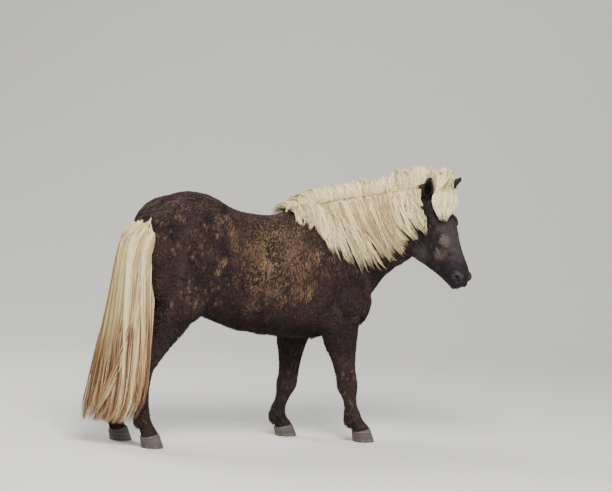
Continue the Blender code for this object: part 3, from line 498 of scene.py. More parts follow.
def head_axes():
    yaw, pitch = math.radians(HEAD_YAW), math.radians(HEAD_PITCH)
    facing = Vector((math.cos(yaw), -math.sin(yaw), 0))
    along = facing * math.cos(pitch) - Vector((0, 0, math.sin(pitch)))
    brow = facing * math.sin(pitch) + Vector((0, 0, math.cos(pitch)))
    return along, brow, brow.cross(along), facing


def head_point(place, side=1):
    along, brow, left, _ = head_axes()
    return Vector(POLL) + along * place[0] + brow * place[1] + left * place[2] * side


def head_turn(slant=0.0):
    """Rotation whose X runs to the muzzle, Y up the forehead and Z to the left."""
    along, brow, left, _ = head_axes()
    turn = Matrix((along, brow, left)).transposed().to_4x4()
    return turn @ Matrix.Rotation(math.radians(slant), 4, "Z")


def head_forms():
    left = head_axes()[2]
    rings = []
    for share, top, low, half, widest in HEAD:
        place = share * HEAD_LENGTH
        front, back = head_point((place, top, 0)), head_point((place, low, 0))
        rings.append(egg(front, back, half, widest, left, HEAD_SQUARENESS, 48))
    forms = [loft("head_form", refine(rings, 6))]
    for x, y, z, *radii in HEAD_MASSES:
        for side in (-1, 1):
            forms.append(ball("head_mass", head_point((x, y, z), side), radii, head_turn(), 32))
    return forms


def body_weight(place):
    """Full smoothing on the trunk and neck, less down the legs."""
    return np.clip(0.35 + (place[:, 2] - 0.45) * 3.0, 0.35, 1.0)


def even_weight(place):
    return np.ones(len(place))


def eye_cutters(side):
    """The round socket, and the almond opening between the lids."""
    centre = head_point(EYE_PLACE, side)
    socket = ball("socket", centre, [EYE_RADIUS + 0.0003] * 3, head_turn(), 48)
    turn = head_turn(-EYE_SLANT).to_3x3()
    left = head_axes()[2] * side
    rings = []
    for reach in (0.004, 0.040):
        ring = []
        for k in range(40):
            angle = 2 * math.pi * k / 40
            lift = math.sin(angle) * (0.75 if k > 20 else 1.0)
            local = Vector((math.cos(angle) * EYE_OPENING[0], lift * EYE_OPENING[1], 0))
            ring.append(centre + turn @ local + left * reach)
        rings.append(ring)
    return [socket, loft("almond", rings)]


def nostril_cutter(side):
    return ball("nostril", head_point(NOSTRIL_PLACE, side), NOSTRIL_RADII, head_turn(NOSTRIL_SLANT), 32)


def mouth_cutter():
    """Thin slit between the lips, from the front of the muzzle back to the corners."""
    left = head_axes()[2]
    steps = 12
    rings = []
    for k in range(steps + 1):
        t = k / steps
        along = MOUTH_CORNER[0] + (MOUTH_FRONT[0] - MOUTH_CORNER[0]) * t
        level = MOUTH_CORNER[1] + (MOUTH_FRONT[1] - MOUTH_CORNER[1]) * t - 0.006 * math.sin(math.pi * t)
        half = MOUTH_GAP / 2 * min(1.0, 0.25 + 4 * t)
        upper, lower = head_point((along, level + half, 0)), head_point((along, level - half, 0))
        rings.append([upper + left * 0.08, upper - left * 0.08, lower - left * 0.08, lower + left * 0.08])
    return loft("mouth", rings)


def ear_frame(side):
    _, _, left, facing = head_axes()
    root = head_point(EAR_ROOT, side)
    reach = facing * EAR_REACH[0] + left * EAR_REACH[1] * side + Vector((0, 0, EAR_REACH[2]))
    axis = reach.normalized()
    opening = facing * 0.55 + left * side * 0.85
    opening = (opening - axis * opening.dot(axis)).normalized()
    return root, reach, axis, opening, axis.cross(opening)


def ear(name, side):
    """Leaf-shaped cup, open to the front and outside, with its root in the head."""
    root, reach, _, opening, across = ear_frame(side)
    rings = []
    arc = 18
    for share, size, spread in EAR_SECTIONS:
        centre = root + reach * share
        radius = EAR_RADIUS * size
        wall = min(EAR_WALL, radius * 0.62)
        outer, inner = [], []
        for k in range(arc):
            turn = math.radians(spread) * (2 * k / (arc - 1) - 1)
            aim = opening * -math.cos(turn) + across * math.sin(turn)
            outer.append(centre + aim * radius)
            inner.append(centre + aim * (radius - wall))
        rings.append(outer + inner[::-1])
    return loft(name, refine(rings, 4))


def frame_shift():
    """From the horse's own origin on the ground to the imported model's."""
    low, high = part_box("eye_right")
    return (low + high) / 2 - head_point(EYE_PLACE, -1)


SHIFT = frame_shift()


def coat_depth(place):
    """How far the skin lies under the coat's surface: deepest on the trunk, least on the face and feet."""
    local = to_head(place)
    trunk = np.clip((place[:, 2] - 0.25) / 0.40, 0, 1)
    depth = 0.0030 + 0.0045 * trunk
    face = np.clip((local[:, 0] - 0.02) / 0.12, 0, 1) * (place[:, 2] > 0.85) * (local[:, 1] > -0.45)
    near_head = np.linalg.norm(place - np.array(POLL), axis=1) < 0.75
    return np.where(near_head, depth * (1 - face) + 0.0022 * face, depth)


def to_head(place):
    """Points in the head's own frame: along it, up its forehead, to its left."""
    along, brow, left, _ = head_axes()
    axes = np.array([along, brow, left]).T
    return (place - np.array(POLL)) @ axes


def draw_in(mesh, depth):
    """Moves each point in along its normal."""
    normals = np.empty(len(mesh.vertices) * 3)
    mesh.vertices.foreach_get("normal", normals)
    place = points_of(mesh)
    place = place - normals.reshape(-1, 3) * depth(place)[:, None]
    mesh.vertices.foreach_set("co", place.ravel())
    mesh.update()


def body_skin():
    forms = [trunk_form(), neck_form(), *muscle_forms()]
    for name, joints, girths, side in LEGS:
        forms.append(leg_form(joints, girths, side))
        if name.startswith("hind"):
            forms.append(hock_form(joints, side))
    skin = fuse_flesh("body_skin", forms, BODY_VOXEL, 20, body_weight)
    discard(forms)
    draw_in(skin.data, coat_depth)
    return skin


def head_skin():
    """Head with its lids, eye openings, nostrils and lips, and a sleeve of the neck."""
    forms = head_forms() + [neck_form()]
    for side in (-1, 1):
        forms.append(ball("lid", head_point(EYE_PLACE, side), [EYE_RADIUS + LID_THICKNESS] * 3, head_turn(), 48))
    skin = fuse_flesh("head_skin", forms, HEAD_VOXEL, 5, even_weight)
    discard(forms)
    draw_in(skin.data, coat_depth)
    edit = bmesh.new()
    edit.from_mesh(skin.data)
    along = head_axes()[0]
    top, low = head_point((-0.045, 0, 0)), head_point((0.150, -0.370, 0))
    across = Vector((0.72, 0.69, 0)).normalized()
    ahead = across.cross(low - top).normalized()
    if ahead.dot(along) < 0:
        ahead = -ahead
    geometry = list(edit.verts) + list(edit.edges) + list(edit.faces)
    bmesh.ops.bisect_plane(edit, geom=geometry, plane_co=top - ahead * HEAD_OVERLAP, plane_no=-ahead,
                           clear_outer=True)
    bmesh.ops.holes_fill(edit, edges=[e for e in edit.edges if e.is_boundary], sides=0)
    edit.to_mesh(skin.data)
    edit.free()
    cutters = [mouth_cutter()]
    for side in (-1, 1):
        cutters += [*eye_cutters(side), nostril_cutter(side)]
    carve(skin, cutters)
    return skin


def join(name, bodies):
    """One mesh of all the bodies, which go."""
    points, faces = [], []
    for body in bodies:
        start = len(points)
        points += [v.co.copy() for v in body.data.vertices]
        faces += [tuple(start + i for i in p.vertices) for p in body.data.polygons]
    discard(bodies)
    return mesh_object(name, points, faces)


def unwrap(body):
    """Gives a mesh an unwrap of its own shape, without overlaps."""
    body.data.uv_layers.new(name=COAT_BAKE_MAP)
    bpy.ops.object.select_all(action="DESELECT")
    bpy.context.view_layer.objects.active = body
    body.select_set(True)
    bpy.ops.object.mode_set(mode="EDIT")
    bpy.ops.mesh.select_all(action="SELECT")
    bpy.ops.uv.smart_project(angle_limit=math.radians(66), island_margin=0.002)
    bpy.ops.object.mode_set(mode="OBJECT")
    body.select_set(False)


class Hide:
    """The skin as triangles with their unwrap, for rooting hair on."""

    def __init__(self, body):
        mesh = body.data
        mesh.calc_loop_triangles()
        count = len(mesh.loop_triangles)
        corners = np.empty(count * 3, int)
        mesh.loop_triangles.foreach_get("vertices", corners)
        loops = np.empty(count * 3, int)
        mesh.loop_triangles.foreach_get("loops", loops)
        place = points_of(mesh)
        normals = np.empty(len(mesh.vertices) * 3)
        mesh.vertices.foreach_get("normal", normals)
        flat = np.empty(len(mesh.loops) * 2)
        mesh.uv_layers[COAT_BAKE_MAP].data.foreach_get("uv", flat)
        self.corners = place[corners].reshape(-1, 3, 3)
        self.normals = normals.reshape(-1, 3)[corners].reshape(-1, 3, 3)
        self.flat = flat.reshape(-1, 2)[loops].reshape(-1, 3, 2)
        edges = self.corners[:, 1:] - self.corners[:, :1]
        self.area = np.linalg.norm(np.cross(edges[:, 0], edges[:, 1]), axis=1) / 2
        self.middle = self.corners.mean(axis=1)
        self.tree = BVHTree.FromPolygons([tuple(p) for p in place], corners.reshape(-1, 3).tolist())

    def scatter(self, count, weight, draw):
        """Roots spread by area times weight: places, normals and unwrap places."""
        odds = self.area * weight
        picked = draw.choice(len(odds), count, p=odds / odds.sum())
        share = draw.random((count, 2))
        over = share.sum(axis=1) > 1
        share[over] = 1 - share[over]
        mix = np.column_stack((1 - share.sum(axis=1), share))[:, :, None]
        normal = (self.normals[picked] * mix).sum(axis=1)
        normal /= np.linalg.norm(normal, axis=1)[:, None]
        return (self.corners[picked] * mix).sum(axis=1), normal, (self.flat[picked] * mix).sum(axis=1)

    def flat_near(self, places):
        """Unwrap places under points that stand over the skin."""
        found = [self.tree.find_nearest(Vector(place))[2] for place in places]
        return self.flat[found].mean(axis=1)


def unit(rows):
    return rows / np.maximum(np.linalg.norm(rows, axis=-1, keepdims=True), 1e-9)


def wander(place, scale, seed):
    """Smooth noise from -1 to 1 at points, from a few crossing waves."""
    draw = np.random.default_rng(seed)
    total = np.zeros(len(place))
    for _ in range(6):
        wave = unit(draw.normal(size=3)) * scale * draw.uniform(0.6, 1.7)
        total += np.sin(place @ wave + draw.uniform(0, 2 * math.pi))
    return total / 3.2


def hair_mesh(name, paths, normals, widths, thickness, profile, tones, flat):
    """Tapered three-sided hairs: paths are (hairs, points, 3), and the last point is the tip."""
    hairs, steps, _ = paths.shape
    runs = np.empty_like(paths)
    runs[:, 1:-1] = paths[:, 2:] - paths[:, :-2]
    runs[:, 0] = paths[:, 1] - paths[:, 0]
    runs[:, -1] = paths[:, -1] - paths[:, -2]
    runs = unit(runs)
    side = unit(np.cross(runs, normals))
    rise = unit(np.cross(side, runs))
    half = widths[:, None, None] / 2 * profile[None, :, None]
    thick = half * thickness
    rings = np.stack((paths + side * half, paths + rise * thick, paths - side * half), axis=2)
    count = (steps - 1) * 3 + 1
    points = np.concatenate((rings[:, :-1].reshape(hairs, -1, 3), paths[:, -1:]), axis=1)
    faces = [(0, 2, 1)]
    for s in range(steps - 2):
        for k in range(3):
            a, b = s * 3 + k, s * 3 + (k + 1) % 3
            faces.append((a, b, b + 3))
            faces.append((a, b + 3, a + 3))
    last = (steps - 2) * 3
    for k in range(3):
        faces.append((last + k, last + (k + 1) % 3, count - 1))
    faces = np.array(faces)
    corners = (faces[None] + (np.arange(hairs) * count)[:, None, None]).reshape(-1)
    mesh = bpy.data.meshes.new(name)
    mesh.vertices.add(hairs * count)
    mesh.vertices.foreach_set("co", points.ravel())
    mesh.loops.add(len(corners))
    mesh.loops.foreach_set("vertex_index", corners)
    mesh.polygons.add(hairs * len(faces))
    mesh.polygons.foreach_set("loop_start", np.arange(hairs * len(faces)) * 3)
    mesh.update(calc_edges=True)
    along = np.append(np.repeat(np.arange(steps - 1), 3), steps - 1) / (steps - 1)
    across = np.append(np.tile((-0.5, 0.0, 0.5), steps - 1), 0.0)
    patch = flat[:, None, :] + TUFT_PATCH * np.stack((across, along - 0.5), axis=1)[None]
    layer = mesh.uv_layers.new(name=COAT_BAKE_MAP)
    layer.data.foreach_set("uv", patch.reshape(-1, 2)[corners].ravel())
    for label, values in (("tone", np.repeat(tones, count)), ("reach", np.tile(along, hairs))):
        attribute = mesh.attributes.new(label, "FLOAT", "POINT")
        attribute.data.foreach_set("value", values.astype(np.float32))
    body = bpy.data.objects.new(name, mesh)
    bpy.context.scene.collection.objects.link(body)
    mesh.polygons.foreach_set("use_smooth", np.ones(len(mesh.polygons), bool))
    return body


class Wire:
    """A shader socket that arithmetic can be written with."""

    def __init__(self, sheet, socket):
        self.sheet = sheet
        self.socket = socket

    def maths(self, operation, *values):
        return self.sheet.node("ShaderNodeMath", {"operation": operation}, dict(enumerate(values)))

    def __add__(self, other):
        return self.maths("ADD", self, other)

    def __radd__(self, other):
        return self.maths("ADD", other, self)

    def __sub__(self, other):
        return self.maths("SUBTRACT", self, other)

    def __rsub__(self, other):
        return self.maths("SUBTRACT", other, self)

    def __mul__(self, other):
        return self.maths("MULTIPLY", self, other)

    def __rmul__(self, other):
        return self.maths("MULTIPLY", other, self)

    def __truediv__(self, other):
        return self.maths("DIVIDE", self, other)

    def most(self, other):
        return self.maths("MAXIMUM", self, other)

    def least(self, other):
        return self.maths("MINIMUM", self, other)


class Sheet:
    """The nodes of one material."""

    def __init__(self, name, **constants):
        self.material = bpy.data.materials.new(name)
        self.material.use_nodes = True
        self.tree = self.material.node_tree
        self.shader = self.tree.nodes["Principled BSDF"]
        for label, value in constants.items():
            self.shader.inputs[label.replace("_", " ")].default_value = value

    def node(self, kind, settings, inputs, out=0):
        """Adds a node with its settings and its sockets' values or links, and gives one output."""
        made = self.tree.nodes.new(kind)
        for label, value in settings.items():
            setattr(made, label, value)
        for label, value in inputs.items():
            if isinstance(value, Wire):
                self.tree.links.new(value.socket, made.inputs[label])
            else:
                made.inputs[label].default_value = value
        return Wire(self, made.outputs[out])

    def set(self, label, wire):
        self.tree.links.new(wire.socket, self.shader.inputs[label])

    def place(self):
        """Where the point is in the horse's own frame."""
        there = self.node("ShaderNodeTexCoord", {}, {}, "Object")
        return self.vector("SUBTRACT", there, tuple(SHIFT))

    def vector(self, operation, *values, out=0):
        return self.node("ShaderNodeVectorMath", {"operation": operation}, dict(enumerate(values)), out)

    def axis(self, place, label):
        return self.node("ShaderNodeSeparateXYZ", {}, {0: place}, label)

    def dot(self, place, direction):
        return self.vector("DOT_PRODUCT", place, tuple(direction), out="Value")

    def ease(self, value, low, high):
        """0 below low, 1 above high, smooth between; the other way round where low is above high."""
        settings = {"interpolation_type": "SMOOTHSTEP"}
        if low > high:
            return 1 - self.node("ShaderNodeMapRange", settings, {0: value, 1: high, 2: low})
        return self.node("ShaderNodeMapRange", settings, {0: value, 1: low, 2: high})

    def blend(self, share, first, second):
        return self.node("ShaderNodeMix", {"data_type": "RGBA"}, {0: share, 6: first, 7: second}, 2)

    def noise(self, place, stretch, scale=1.0, detail=3.0):
        """Noise from 0 to 1, with stretch as waves for each metre along the three axes."""
        scaled = self.vector("MULTIPLY", place, stretch)
        return self.node("ShaderNodeTexNoise", {}, {"Vector": scaled, "Scale": scale, "Detail": detail})

    def spot(self, place, centre, radii, soft=0.45):
        """1 inside an ellipsoid, fading out to its edge."""
        away = self.vector("SUBTRACT", place, centre)
        away = self.vector("DIVIDE", away, radii)
        distance = self.vector("LENGTH", away, out="Value")
        return self.ease(distance, 1.0 + soft, 1.0 - soft)

    def streak(self, place, start, end, width):
        """1 near the line between two points, fading out to width."""
        run = Vector(end) - Vector(start)
        away = self.vector("SUBTRACT", place, start)
        share = self.dot(away, run / run.length_squared).most(0.0).least(1.0)
        foot = self.node("ShaderNodeVectorMath", {"operation": "SCALE"}, {0: tuple(run), "Scale": share})
        distance = self.vector("DISTANCE", away, foot, out="Value")
        return self.ease(distance, width, width * 0.35)

    def bump(self, height, distance):
        normal = self.node("ShaderNodeBump", {}, {"Height": height, "Distance": distance})
        self.set("Normal", normal)


def rgb(colour):
    return (*colour, 1.0)


def body_colour(sheet, looks, place):
    """The dappled dark coat with its tan flecks, streak, spots and pale leg mottles, with painted top light on the
    croup and painted shade at belly height.
    """
    x, z = sheet.axis(place, "X"), sheet.axis(place, "Z")
    broad = sheet.noise(place, (7, 7, 7))
    patches = sheet.noise(place, (15, 15, 10), detail=2.0)
    flecks = sheet.noise(place, (125, 125, 36), detail=3.0)
    colour = sheet.blend(sheet.ease(broad, 0.35, 0.7), rgb(looks.dark_coat_and_belly_shade), rgb(looks.brown_coat))
    across, level = x + (broad - 0.5) * 0.28, z + (patches - 0.5) * 0.35
    barrel = sheet.ease(across, -0.36, -0.10) * sheet.ease(across, 0.36, 0.12) * sheet.ease(level, 0.62, 0.95)
    barrel = barrel * sheet.ease(level, 1.36, 1.12).most(0.55)
    # Thicker tan flecks on the croup's top: the flecks are the coat's own, and their extra spread there is painted
    # top light.
    croup_flecks_and_top_light = sheet.ease(level, 1.18, 1.34) * sheet.ease(x, 0.0, -0.1) * 0.40
    shoulder = sheet.ease(x, 0.16, 0.30) * sheet.ease(z, 0.80, 1.00) * 0.22
    spread = barrel.most(croup_flecks_and_top_light).most(shoulder)
    shown = sheet.ease(flecks + (patches - 0.5) * 0.40 + spread * 0.13, 0.56, 0.70)
    warm = sheet.blend(sheet.ease(broad, 0.42, 0.58), rgb(looks.tan_coat), rgb(looks.rust_coat))
    colour = sheet.blend(shown * (spread * 0.62 + 0.16), colour, warm)
    settings = {"Vector": sheet.vector("MULTIPLY", place, (1.0, 1.0, 0.62)), "Scale": 27.0, "Randomness": 0.9}
    cells = sheet.node("ShaderNodeTexVoronoi", {}, settings, "Distance")
    dapple = sheet.ease(cells, 0.42, 0.12) * sheet.ease(patches, 0.38, 0.55) * sheet.ease(flecks, 0.32, 0.55)
    hip = sheet.ease(x, -0.24, -0.36) * sheet.ease(level, 0.68, 0.84) * sheet.ease(z, 1.28, 1.20)
    colour = sheet.blend(dapple * hip * 0.80, colour, rgb(looks.pale_dapple))
    rust = sheet.streak(place, (-0.330, -0.21, 1.31), (-0.270, -0.25, 1.10), 0.036)
    colour = sheet.blend(rust * sheet.ease(flecks, 0.36, 0.60) * 0.7, colour, rgb(looks.rust_coat))
    pale = sheet.streak(place, (-0.335, -0.24, 1.030), (-0.372, -0.24, 0.955), 0.026)
    colour = sheet.blend(pale * sheet.ease(flecks, 0.38, 0.6) * 0.85, colour, rgb(looks.tan_coat))
    # Painted shade under the trunk: the band at belly height, belly and tops of the legs, is darkened towards the
    # dark coat.
    belly = sheet.ease(z, 0.74, 0.62) * sheet.ease(z, 0.42, 0.52)
    colour = sheet.blend(belly * 0.75, colour, rgb(looks.dark_coat_and_belly_shade))
    mottle = sheet.noise(place, (46, 46, 30), detail=2.0)
    legs = sheet.ease(z, 0.56, 0.40) * sheet.ease(z, 0.10, 0.20)
    return sheet.blend(sheet.ease(mottle, 0.56, 0.70) * legs * 0.5, colour, rgb(looks.pale_dapple))


# Pale patches of painted light and dark patches of painted shade on the head's own slate colour: place in its frame,
# radii, strength
HEAD_PALE_AND_LIT = (
    ((0.318, -0.036, 0.075), (0.030, 0.022, 0.060), 0.60),
    ((0.372, -0.098, 0.075), (0.028, 0.040, 0.050), 0.65),
    ((0.300, -0.235, 0.080), (0.050, 0.060, 0.050), 0.35),
    ((0.110, -0.215, 0.090), (0.050, 0.060, 0.050), 0.30),
)
HEAD_DARK_AND_SHADED = (
    ((0.150, -0.085, 0.085), (0.085, 0.065, 0.060), 0.85),
    ((0.262, -0.115, 0.085), (0.040, 0.040, 0.050), 0.75),
    ((0.340, -0.075, 0.080), (0.055, 0.014, 0.050), 0.70),
    ((0.440, -0.110, 0.060), (0.050, 0.035, 0.040), 0.50),
)


def head_colour(sheet, looks, place, colour):
    """The slate face and dark muzzle, with pale patches of painted light on the cheek and over the facial crest and
    dark patches of painted shade round the eye and under the crest, laid over the coat.
    """
    along, brow, left, _ = head_axes()
    away = sheet.vector("SUBTRACT", place, POLL)
    u, v = sheet.dot(away, along), sheet.dot(away, brow)
    w = sheet.dot(away, left).maths("ABSOLUTE", sheet.dot(away, left))
    front = sheet.ease(u, -0.06, 0.06) * sheet.ease(v, -0.44, -0.36) * sheet.ease(w, 0.2, 0.15)
    small = sheet.noise(place, (42, 42, 42), detail=4.0)
    fine = sheet.noise(place, (160, 160, 160), detail=2.0)
    face = sheet.blend(sheet.ease(small, 0.36, 0.64), rgb(looks.dark_face_and_shade), rgb(looks.slate_face))
    own = sheet.node("ShaderNodeCombineXYZ", {}, {0: u + (small - 0.5) * 0.09, 1: v + (fine - 0.5) * 0.06, 2: w})
    # The pale patches are painted light and the dark ones are painted shade, laid on the slate mottle.
    for patches, colour_of in ((HEAD_PALE_AND_LIT, looks.pale_face_and_light), (HEAD_DARK_AND_SHADED, looks.dark_face_and_shade)):
        for centre, radii, share in patches:
            mask = sheet.spot(own, centre, radii) * (sheet.ease(fine, 0.30, 0.60) * 0.6 + 0.4)
            face = sheet.blend(mask * share, face, rgb(colour_of))
    ridge = sheet.ease(v, -0.055, -0.015) * sheet.ease(u, 0.18, 0.26) * sheet.ease(u, 0.52, 0.42)
    face = sheet.blend(ridge * 0.35, face, rgb(looks.muzzle))
    face = sheet.blend(sheet.ease(u, 0.43, 0.50) * 0.85, face, rgb(looks.dark_face_and_shade))
    rim = sheet.spot(own, (NOSTRIL_PLACE[0], NOSTRIL_PLACE[1], NOSTRIL_PLACE[2]), (0.034, 0.030, 0.04), 0.2)
    face = sheet.blend(rim * 0.7, face, rgb(looks.muzzle))
    # Painted shade in the nostril's opening, in the dark face colour.
    nostril_shade = sheet.spot(own, NOSTRIL_PLACE, (0.020, 0.016, 0.03), 0.25)
    face = sheet.blend(nostril_shade, face, rgb(looks.dark_face_and_shade))
    lip = sheet.streak(own, (0.500, -0.146, 0.0), (0.560, -0.140, 0.0), 0.055) * sheet.ease(v, -0.128, -0.138)
    face = sheet.blend(lip * sheet.ease(v, -0.152, -0.142) * 0.35, face, rgb(looks.pale_face_and_light))
    return sheet.blend(front, colour, face)


def coat_finish(name, looks, bump, on_head):
    sheet = Sheet(name, Roughness=0.72, Specular_IOR_Level=0.18)
    place = sheet.place()
    colour = body_colour(sheet, looks, place)
    if on_head:
        colour = head_colour(sheet, looks, place, colour)
    tone = sheet.node("ShaderNodeAttribute", {"attribute_name": "tone"}, {}, "Fac")
    reach = sheet.node("ShaderNodeAttribute", {"attribute_name": "reach"}, {}, "Fac")
    bright = (1.0 + tone * 0.35) * (0.72 + reach * 0.45)
    colour = sheet.node("ShaderNodeVectorMath", {"operation": "SCALE"}, {0: colour, "Scale": bright})
    sheet.set("Base Color", colour)
    if bump:
        grain = sheet.noise(place, (420, 420, 160), detail=2.0)
        sheet.bump(grain, 0.002)
    return sheet.material


def cream_finish(name, looks):
    """Mane and forelock: cream hair, warmer and darker in its shaded strands, bleached at the tips."""
    sheet = Sheet(name, Roughness=0.55, Specular_IOR_Level=0.30)
    tone = sheet.node("ShaderNodeAttribute", {"attribute_name": "tone"}, {}, "Fac")
    reach = sheet.node("ShaderNodeAttribute", {"attribute_name": "reach"}, {}, "Fac")
    place = sheet.place()
    broad = sheet.noise(place, (9, 9, 9), detail=2.0)
    share = sheet.ease(tone + (broad - 0.5) * 0.6, -0.70, 0.45)
    colour = sheet.blend(share, rgb(looks.mane_shade), rgb(looks.mane_cream))
    colour = sheet.blend(sheet.ease(reach, 0.55, 1.0) * 0.3, colour, rgb(looks.mane_tip))
    sheet.set("Base Color", colour)
    return sheet.material


def tail_finish(name, looks):
    """Tail: cream at the dock and over the top, with tan strands lower down and purple-brown strands that are partly
    darker hair and partly painted shade.
    """
    sheet = Sheet(name, Roughness=0.55, Specular_IOR_Level=0.30)
    tone = sheet.node("ShaderNodeAttribute", {"attribute_name": "tone"}, {}, "Fac")
    place = sheet.place()
    z = sheet.axis(place, "Z")
    broad = sheet.noise(place, (14, 14, 3), detail=2.0)
    own = tone + (broad - 0.5) * 1.2
    cream = sheet.blend(sheet.ease(tone, -0.9, 0.2), rgb(looks.mane_shade), rgb(looks.mane_cream))
    tan = sheet.ease(own - sheet.ease(z, 0.95, 0.30) * 0.9, -0.15, -0.60) * sheet.ease(z, 1.0, 0.5)
    colour = sheet.blend(tan * 0.85, cream, rgb(looks.tail_tan))
    # Purple-brown strands low in the tail: darker hair, together with painted shade under the outer strands.
    dark = sheet.ease(own - sheet.ease(z, 0.80, 0.30) * 0.5, -0.50, -0.80) * sheet.ease(z, 0.85, 0.6)
    colour = sheet.blend(dark * 0.9, colour, rgb(looks.tail_brown_and_shade))
    sheet.set("Base Color", colour)
    return sheet.material


def horn_finish(name, looks):
    """Dark hoof horn with fine growth rings and pale scuffs near the ground."""
    sheet = Sheet(name, Roughness=0.5, Specular_IOR_Level=0.4)
    place = sheet.place()
    z = sheet.axis(place, "Z")
    rings = sheet.noise(place, (4, 4, 260), detail=2.0)
    scuffs = sheet.noise(place, (60, 60, 30), detail=4.0)
    colour = sheet.blend(sheet.ease(rings, 0.35, 0.65) * 0.5, rgb(looks.horn_dark), rgb(looks.horn_light))
    low = sheet.ease(z, 0.03, 0.0) * sheet.ease(scuffs, 0.4, 0.65)
    colour = sheet.blend(low * 0.7, colour, rgb(looks.horn_light))
    sheet.set("Base Color", colour)
    sheet.set("Roughness", 0.42 + scuffs * 0.25)
    sheet.bump(rings, 0.0012)
    return sheet.material


def eye_finish(name, looks):
    """Dark brown iris with a level oval pupil, under a wet surface."""
    sheet = Sheet(name, Roughness=0.06, Specular_IOR_Level=0.6, Coat_Weight=0.6, Coat_Roughness=0.03)
    place = sheet.place()
    away = sheet.vector("SUBTRACT", place, POLL)
    along, brow, left, _ = head_axes()
    u, v = sheet.dot(away, along) - EYE_PLACE[0], sheet.dot(away, brow) - EYE_PLACE[1]
    pupil = (u * u) / 0.0085 ** 2 + (v * v) / 0.0045 ** 2
    iris = (u * u + v * v) / 0.0145 ** 2
    fibres = sheet.noise(place, (500, 500, 500), detail=2.0)
    colour = sheet.blend(fibres, rgb(looks.eye_dark), rgb(looks.eye_brown))
    colour = sheet.blend(sheet.ease(pupil, 1.3, 0.8), colour, rgb((0.003, 0.003, 0.004)))
    colour = sheet.blend(sheet.ease(iris, 0.9, 1.25), colour, rgb(looks.eye_white))
    sheet.set("Base Color", colour)
    return sheet.material


def colour_property(name, description, default):
    return FloatVectorProperty(name=name, description=description, default=default, size=3, subtype="COLOR",
                               min=0.0, max=1.0)


class HorseCoatLooks(bpy.types.PropertyGroup):
    """Colours of the coat, hair, horn and eyes."""
    # The dark coat also paints the shade at belly height.
    dark_coat_and_belly_shade: colour_property("Dark coat", "Darkest brown of the body", (0.024, 0.014, 0.016))
    brown_coat: colour_property("Brown coat", "Lighter brown of the body", (0.048, 0.027, 0.025))
    tan_coat: colour_property("Tan flecks", "Tan of the barrel's flecks", (0.270, 0.175, 0.090))
    rust_coat: colour_property("Rust flecks", "Warmer flecks and the streak down the hip", (0.180, 0.105, 0.060))
    pale_dapple: colour_property("Pale dapples", "Dapples and leg mottles", (0.185, 0.118, 0.082))
    # Also paints the shade of the head's dark patches and of the nostrils' openings.
    dark_face_and_shade: colour_property("Dark face", "Darkest parts of the head", (0.014, 0.010, 0.013))
    slate_face: colour_property("Slate face", "Main colour of the head", (0.042, 0.028, 0.032))
    # Also paints the light of the head's pale patches.
    pale_face_and_light: colour_property("Pale face", "Cheek patches", (0.200, 0.155, 0.125))
    muzzle: colour_property("Muzzle", "Grey of the nostril's rim and the nose ridge", (0.085, 0.066, 0.074))
    mane_cream: colour_property("Mane", "Cream of the mane and tail", (0.940, 0.820, 0.480))
    mane_shade: colour_property("Mane shade", "Deeper strands of the mane", (0.440, 0.310, 0.150))
    mane_tip: colour_property("Mane tips", "Bleached tips", (0.950, 0.880, 0.620))
    tail_tan: colour_property("Tail tan", "Warm tan strands low in the tail", (0.560, 0.300, 0.130))
    # Partly painted shade of the tail's lower strands.
    tail_brown_and_shade: colour_property("Tail brown", "Purple-brown strands in the tail", (0.110, 0.045, 0.040))
    horn_dark: colour_property("Dark horn", "Hoof wall", (0.045, 0.038, 0.035))
    horn_light: colour_property("Light horn", "Growth rings and scuffs", (0.160, 0.140, 0.120))
    eye_dark: colour_property("Eye, dark", "Iris at its edge", (0.010, 0.006, 0.004))
    eye_brown: colour_property("Eye, brown", "Iris", (0.045, 0.020, 0.010))
    eye_white: colour_property("Eye rim", "White of the eye, which hardly shows", (0.090, 0.070, 0.060))


class HorseCoatSizes(bpy.types.PropertyGroup):
    """Counts and lengths of the hair."""
    body_tufts: IntProperty(name="Body tufts", description="Tufts on the trunk, neck and legs", default=62000)
    head_tufts: IntProperty(name="Head tufts", description="Short tufts on the head", default=14000)
    flank_hair: FloatProperty(name="Flank hair", description="Hair length on the flank", default=0.026,
                              unit="LENGTH")
    belly_hair: FloatProperty(name="Belly hair", description="Hair length under the belly", default=0.030,
                              unit="LENGTH")
    leg_hair: FloatProperty(name="Leg hair", description="Hair length on the legs", default=0.014, unit="LENGTH")
    face_hair: FloatProperty(name="Face hair", description="Hair length on the face", default=0.009,
                             unit="LENGTH")
    mane_hair: IntProperty(name="Mane strands", description="Strands on both sides of the neck", default=7600)
    forelock_hair: IntProperty(name="Forelock strands", description="Strands over the forehead", default=2200)
    tail_hair: IntProperty(name="Tail strands", description="Strands in the tail", default=4200)
    strand_width: FloatProperty(name="Strand width", description="Width of a mane strand", default=0.0036,
                                unit="LENGTH")


def sizes():
    return bpy.context.scene.horse_coat_sizes


def looks():
    return bpy.context.scene.horse_coat_looks


def fewer(count):
    """The full counts, unchanged."""
    return count


BUILT = {}


def finish_piece(body, material):
    """Moves a piece from the horse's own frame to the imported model's and fixes it there."""
    body.data.materials.clear()
    body.data.materials.append(material)
    body.data.transform(Matrix.Translation(SHIFT))
    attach(body, "root")
    return body


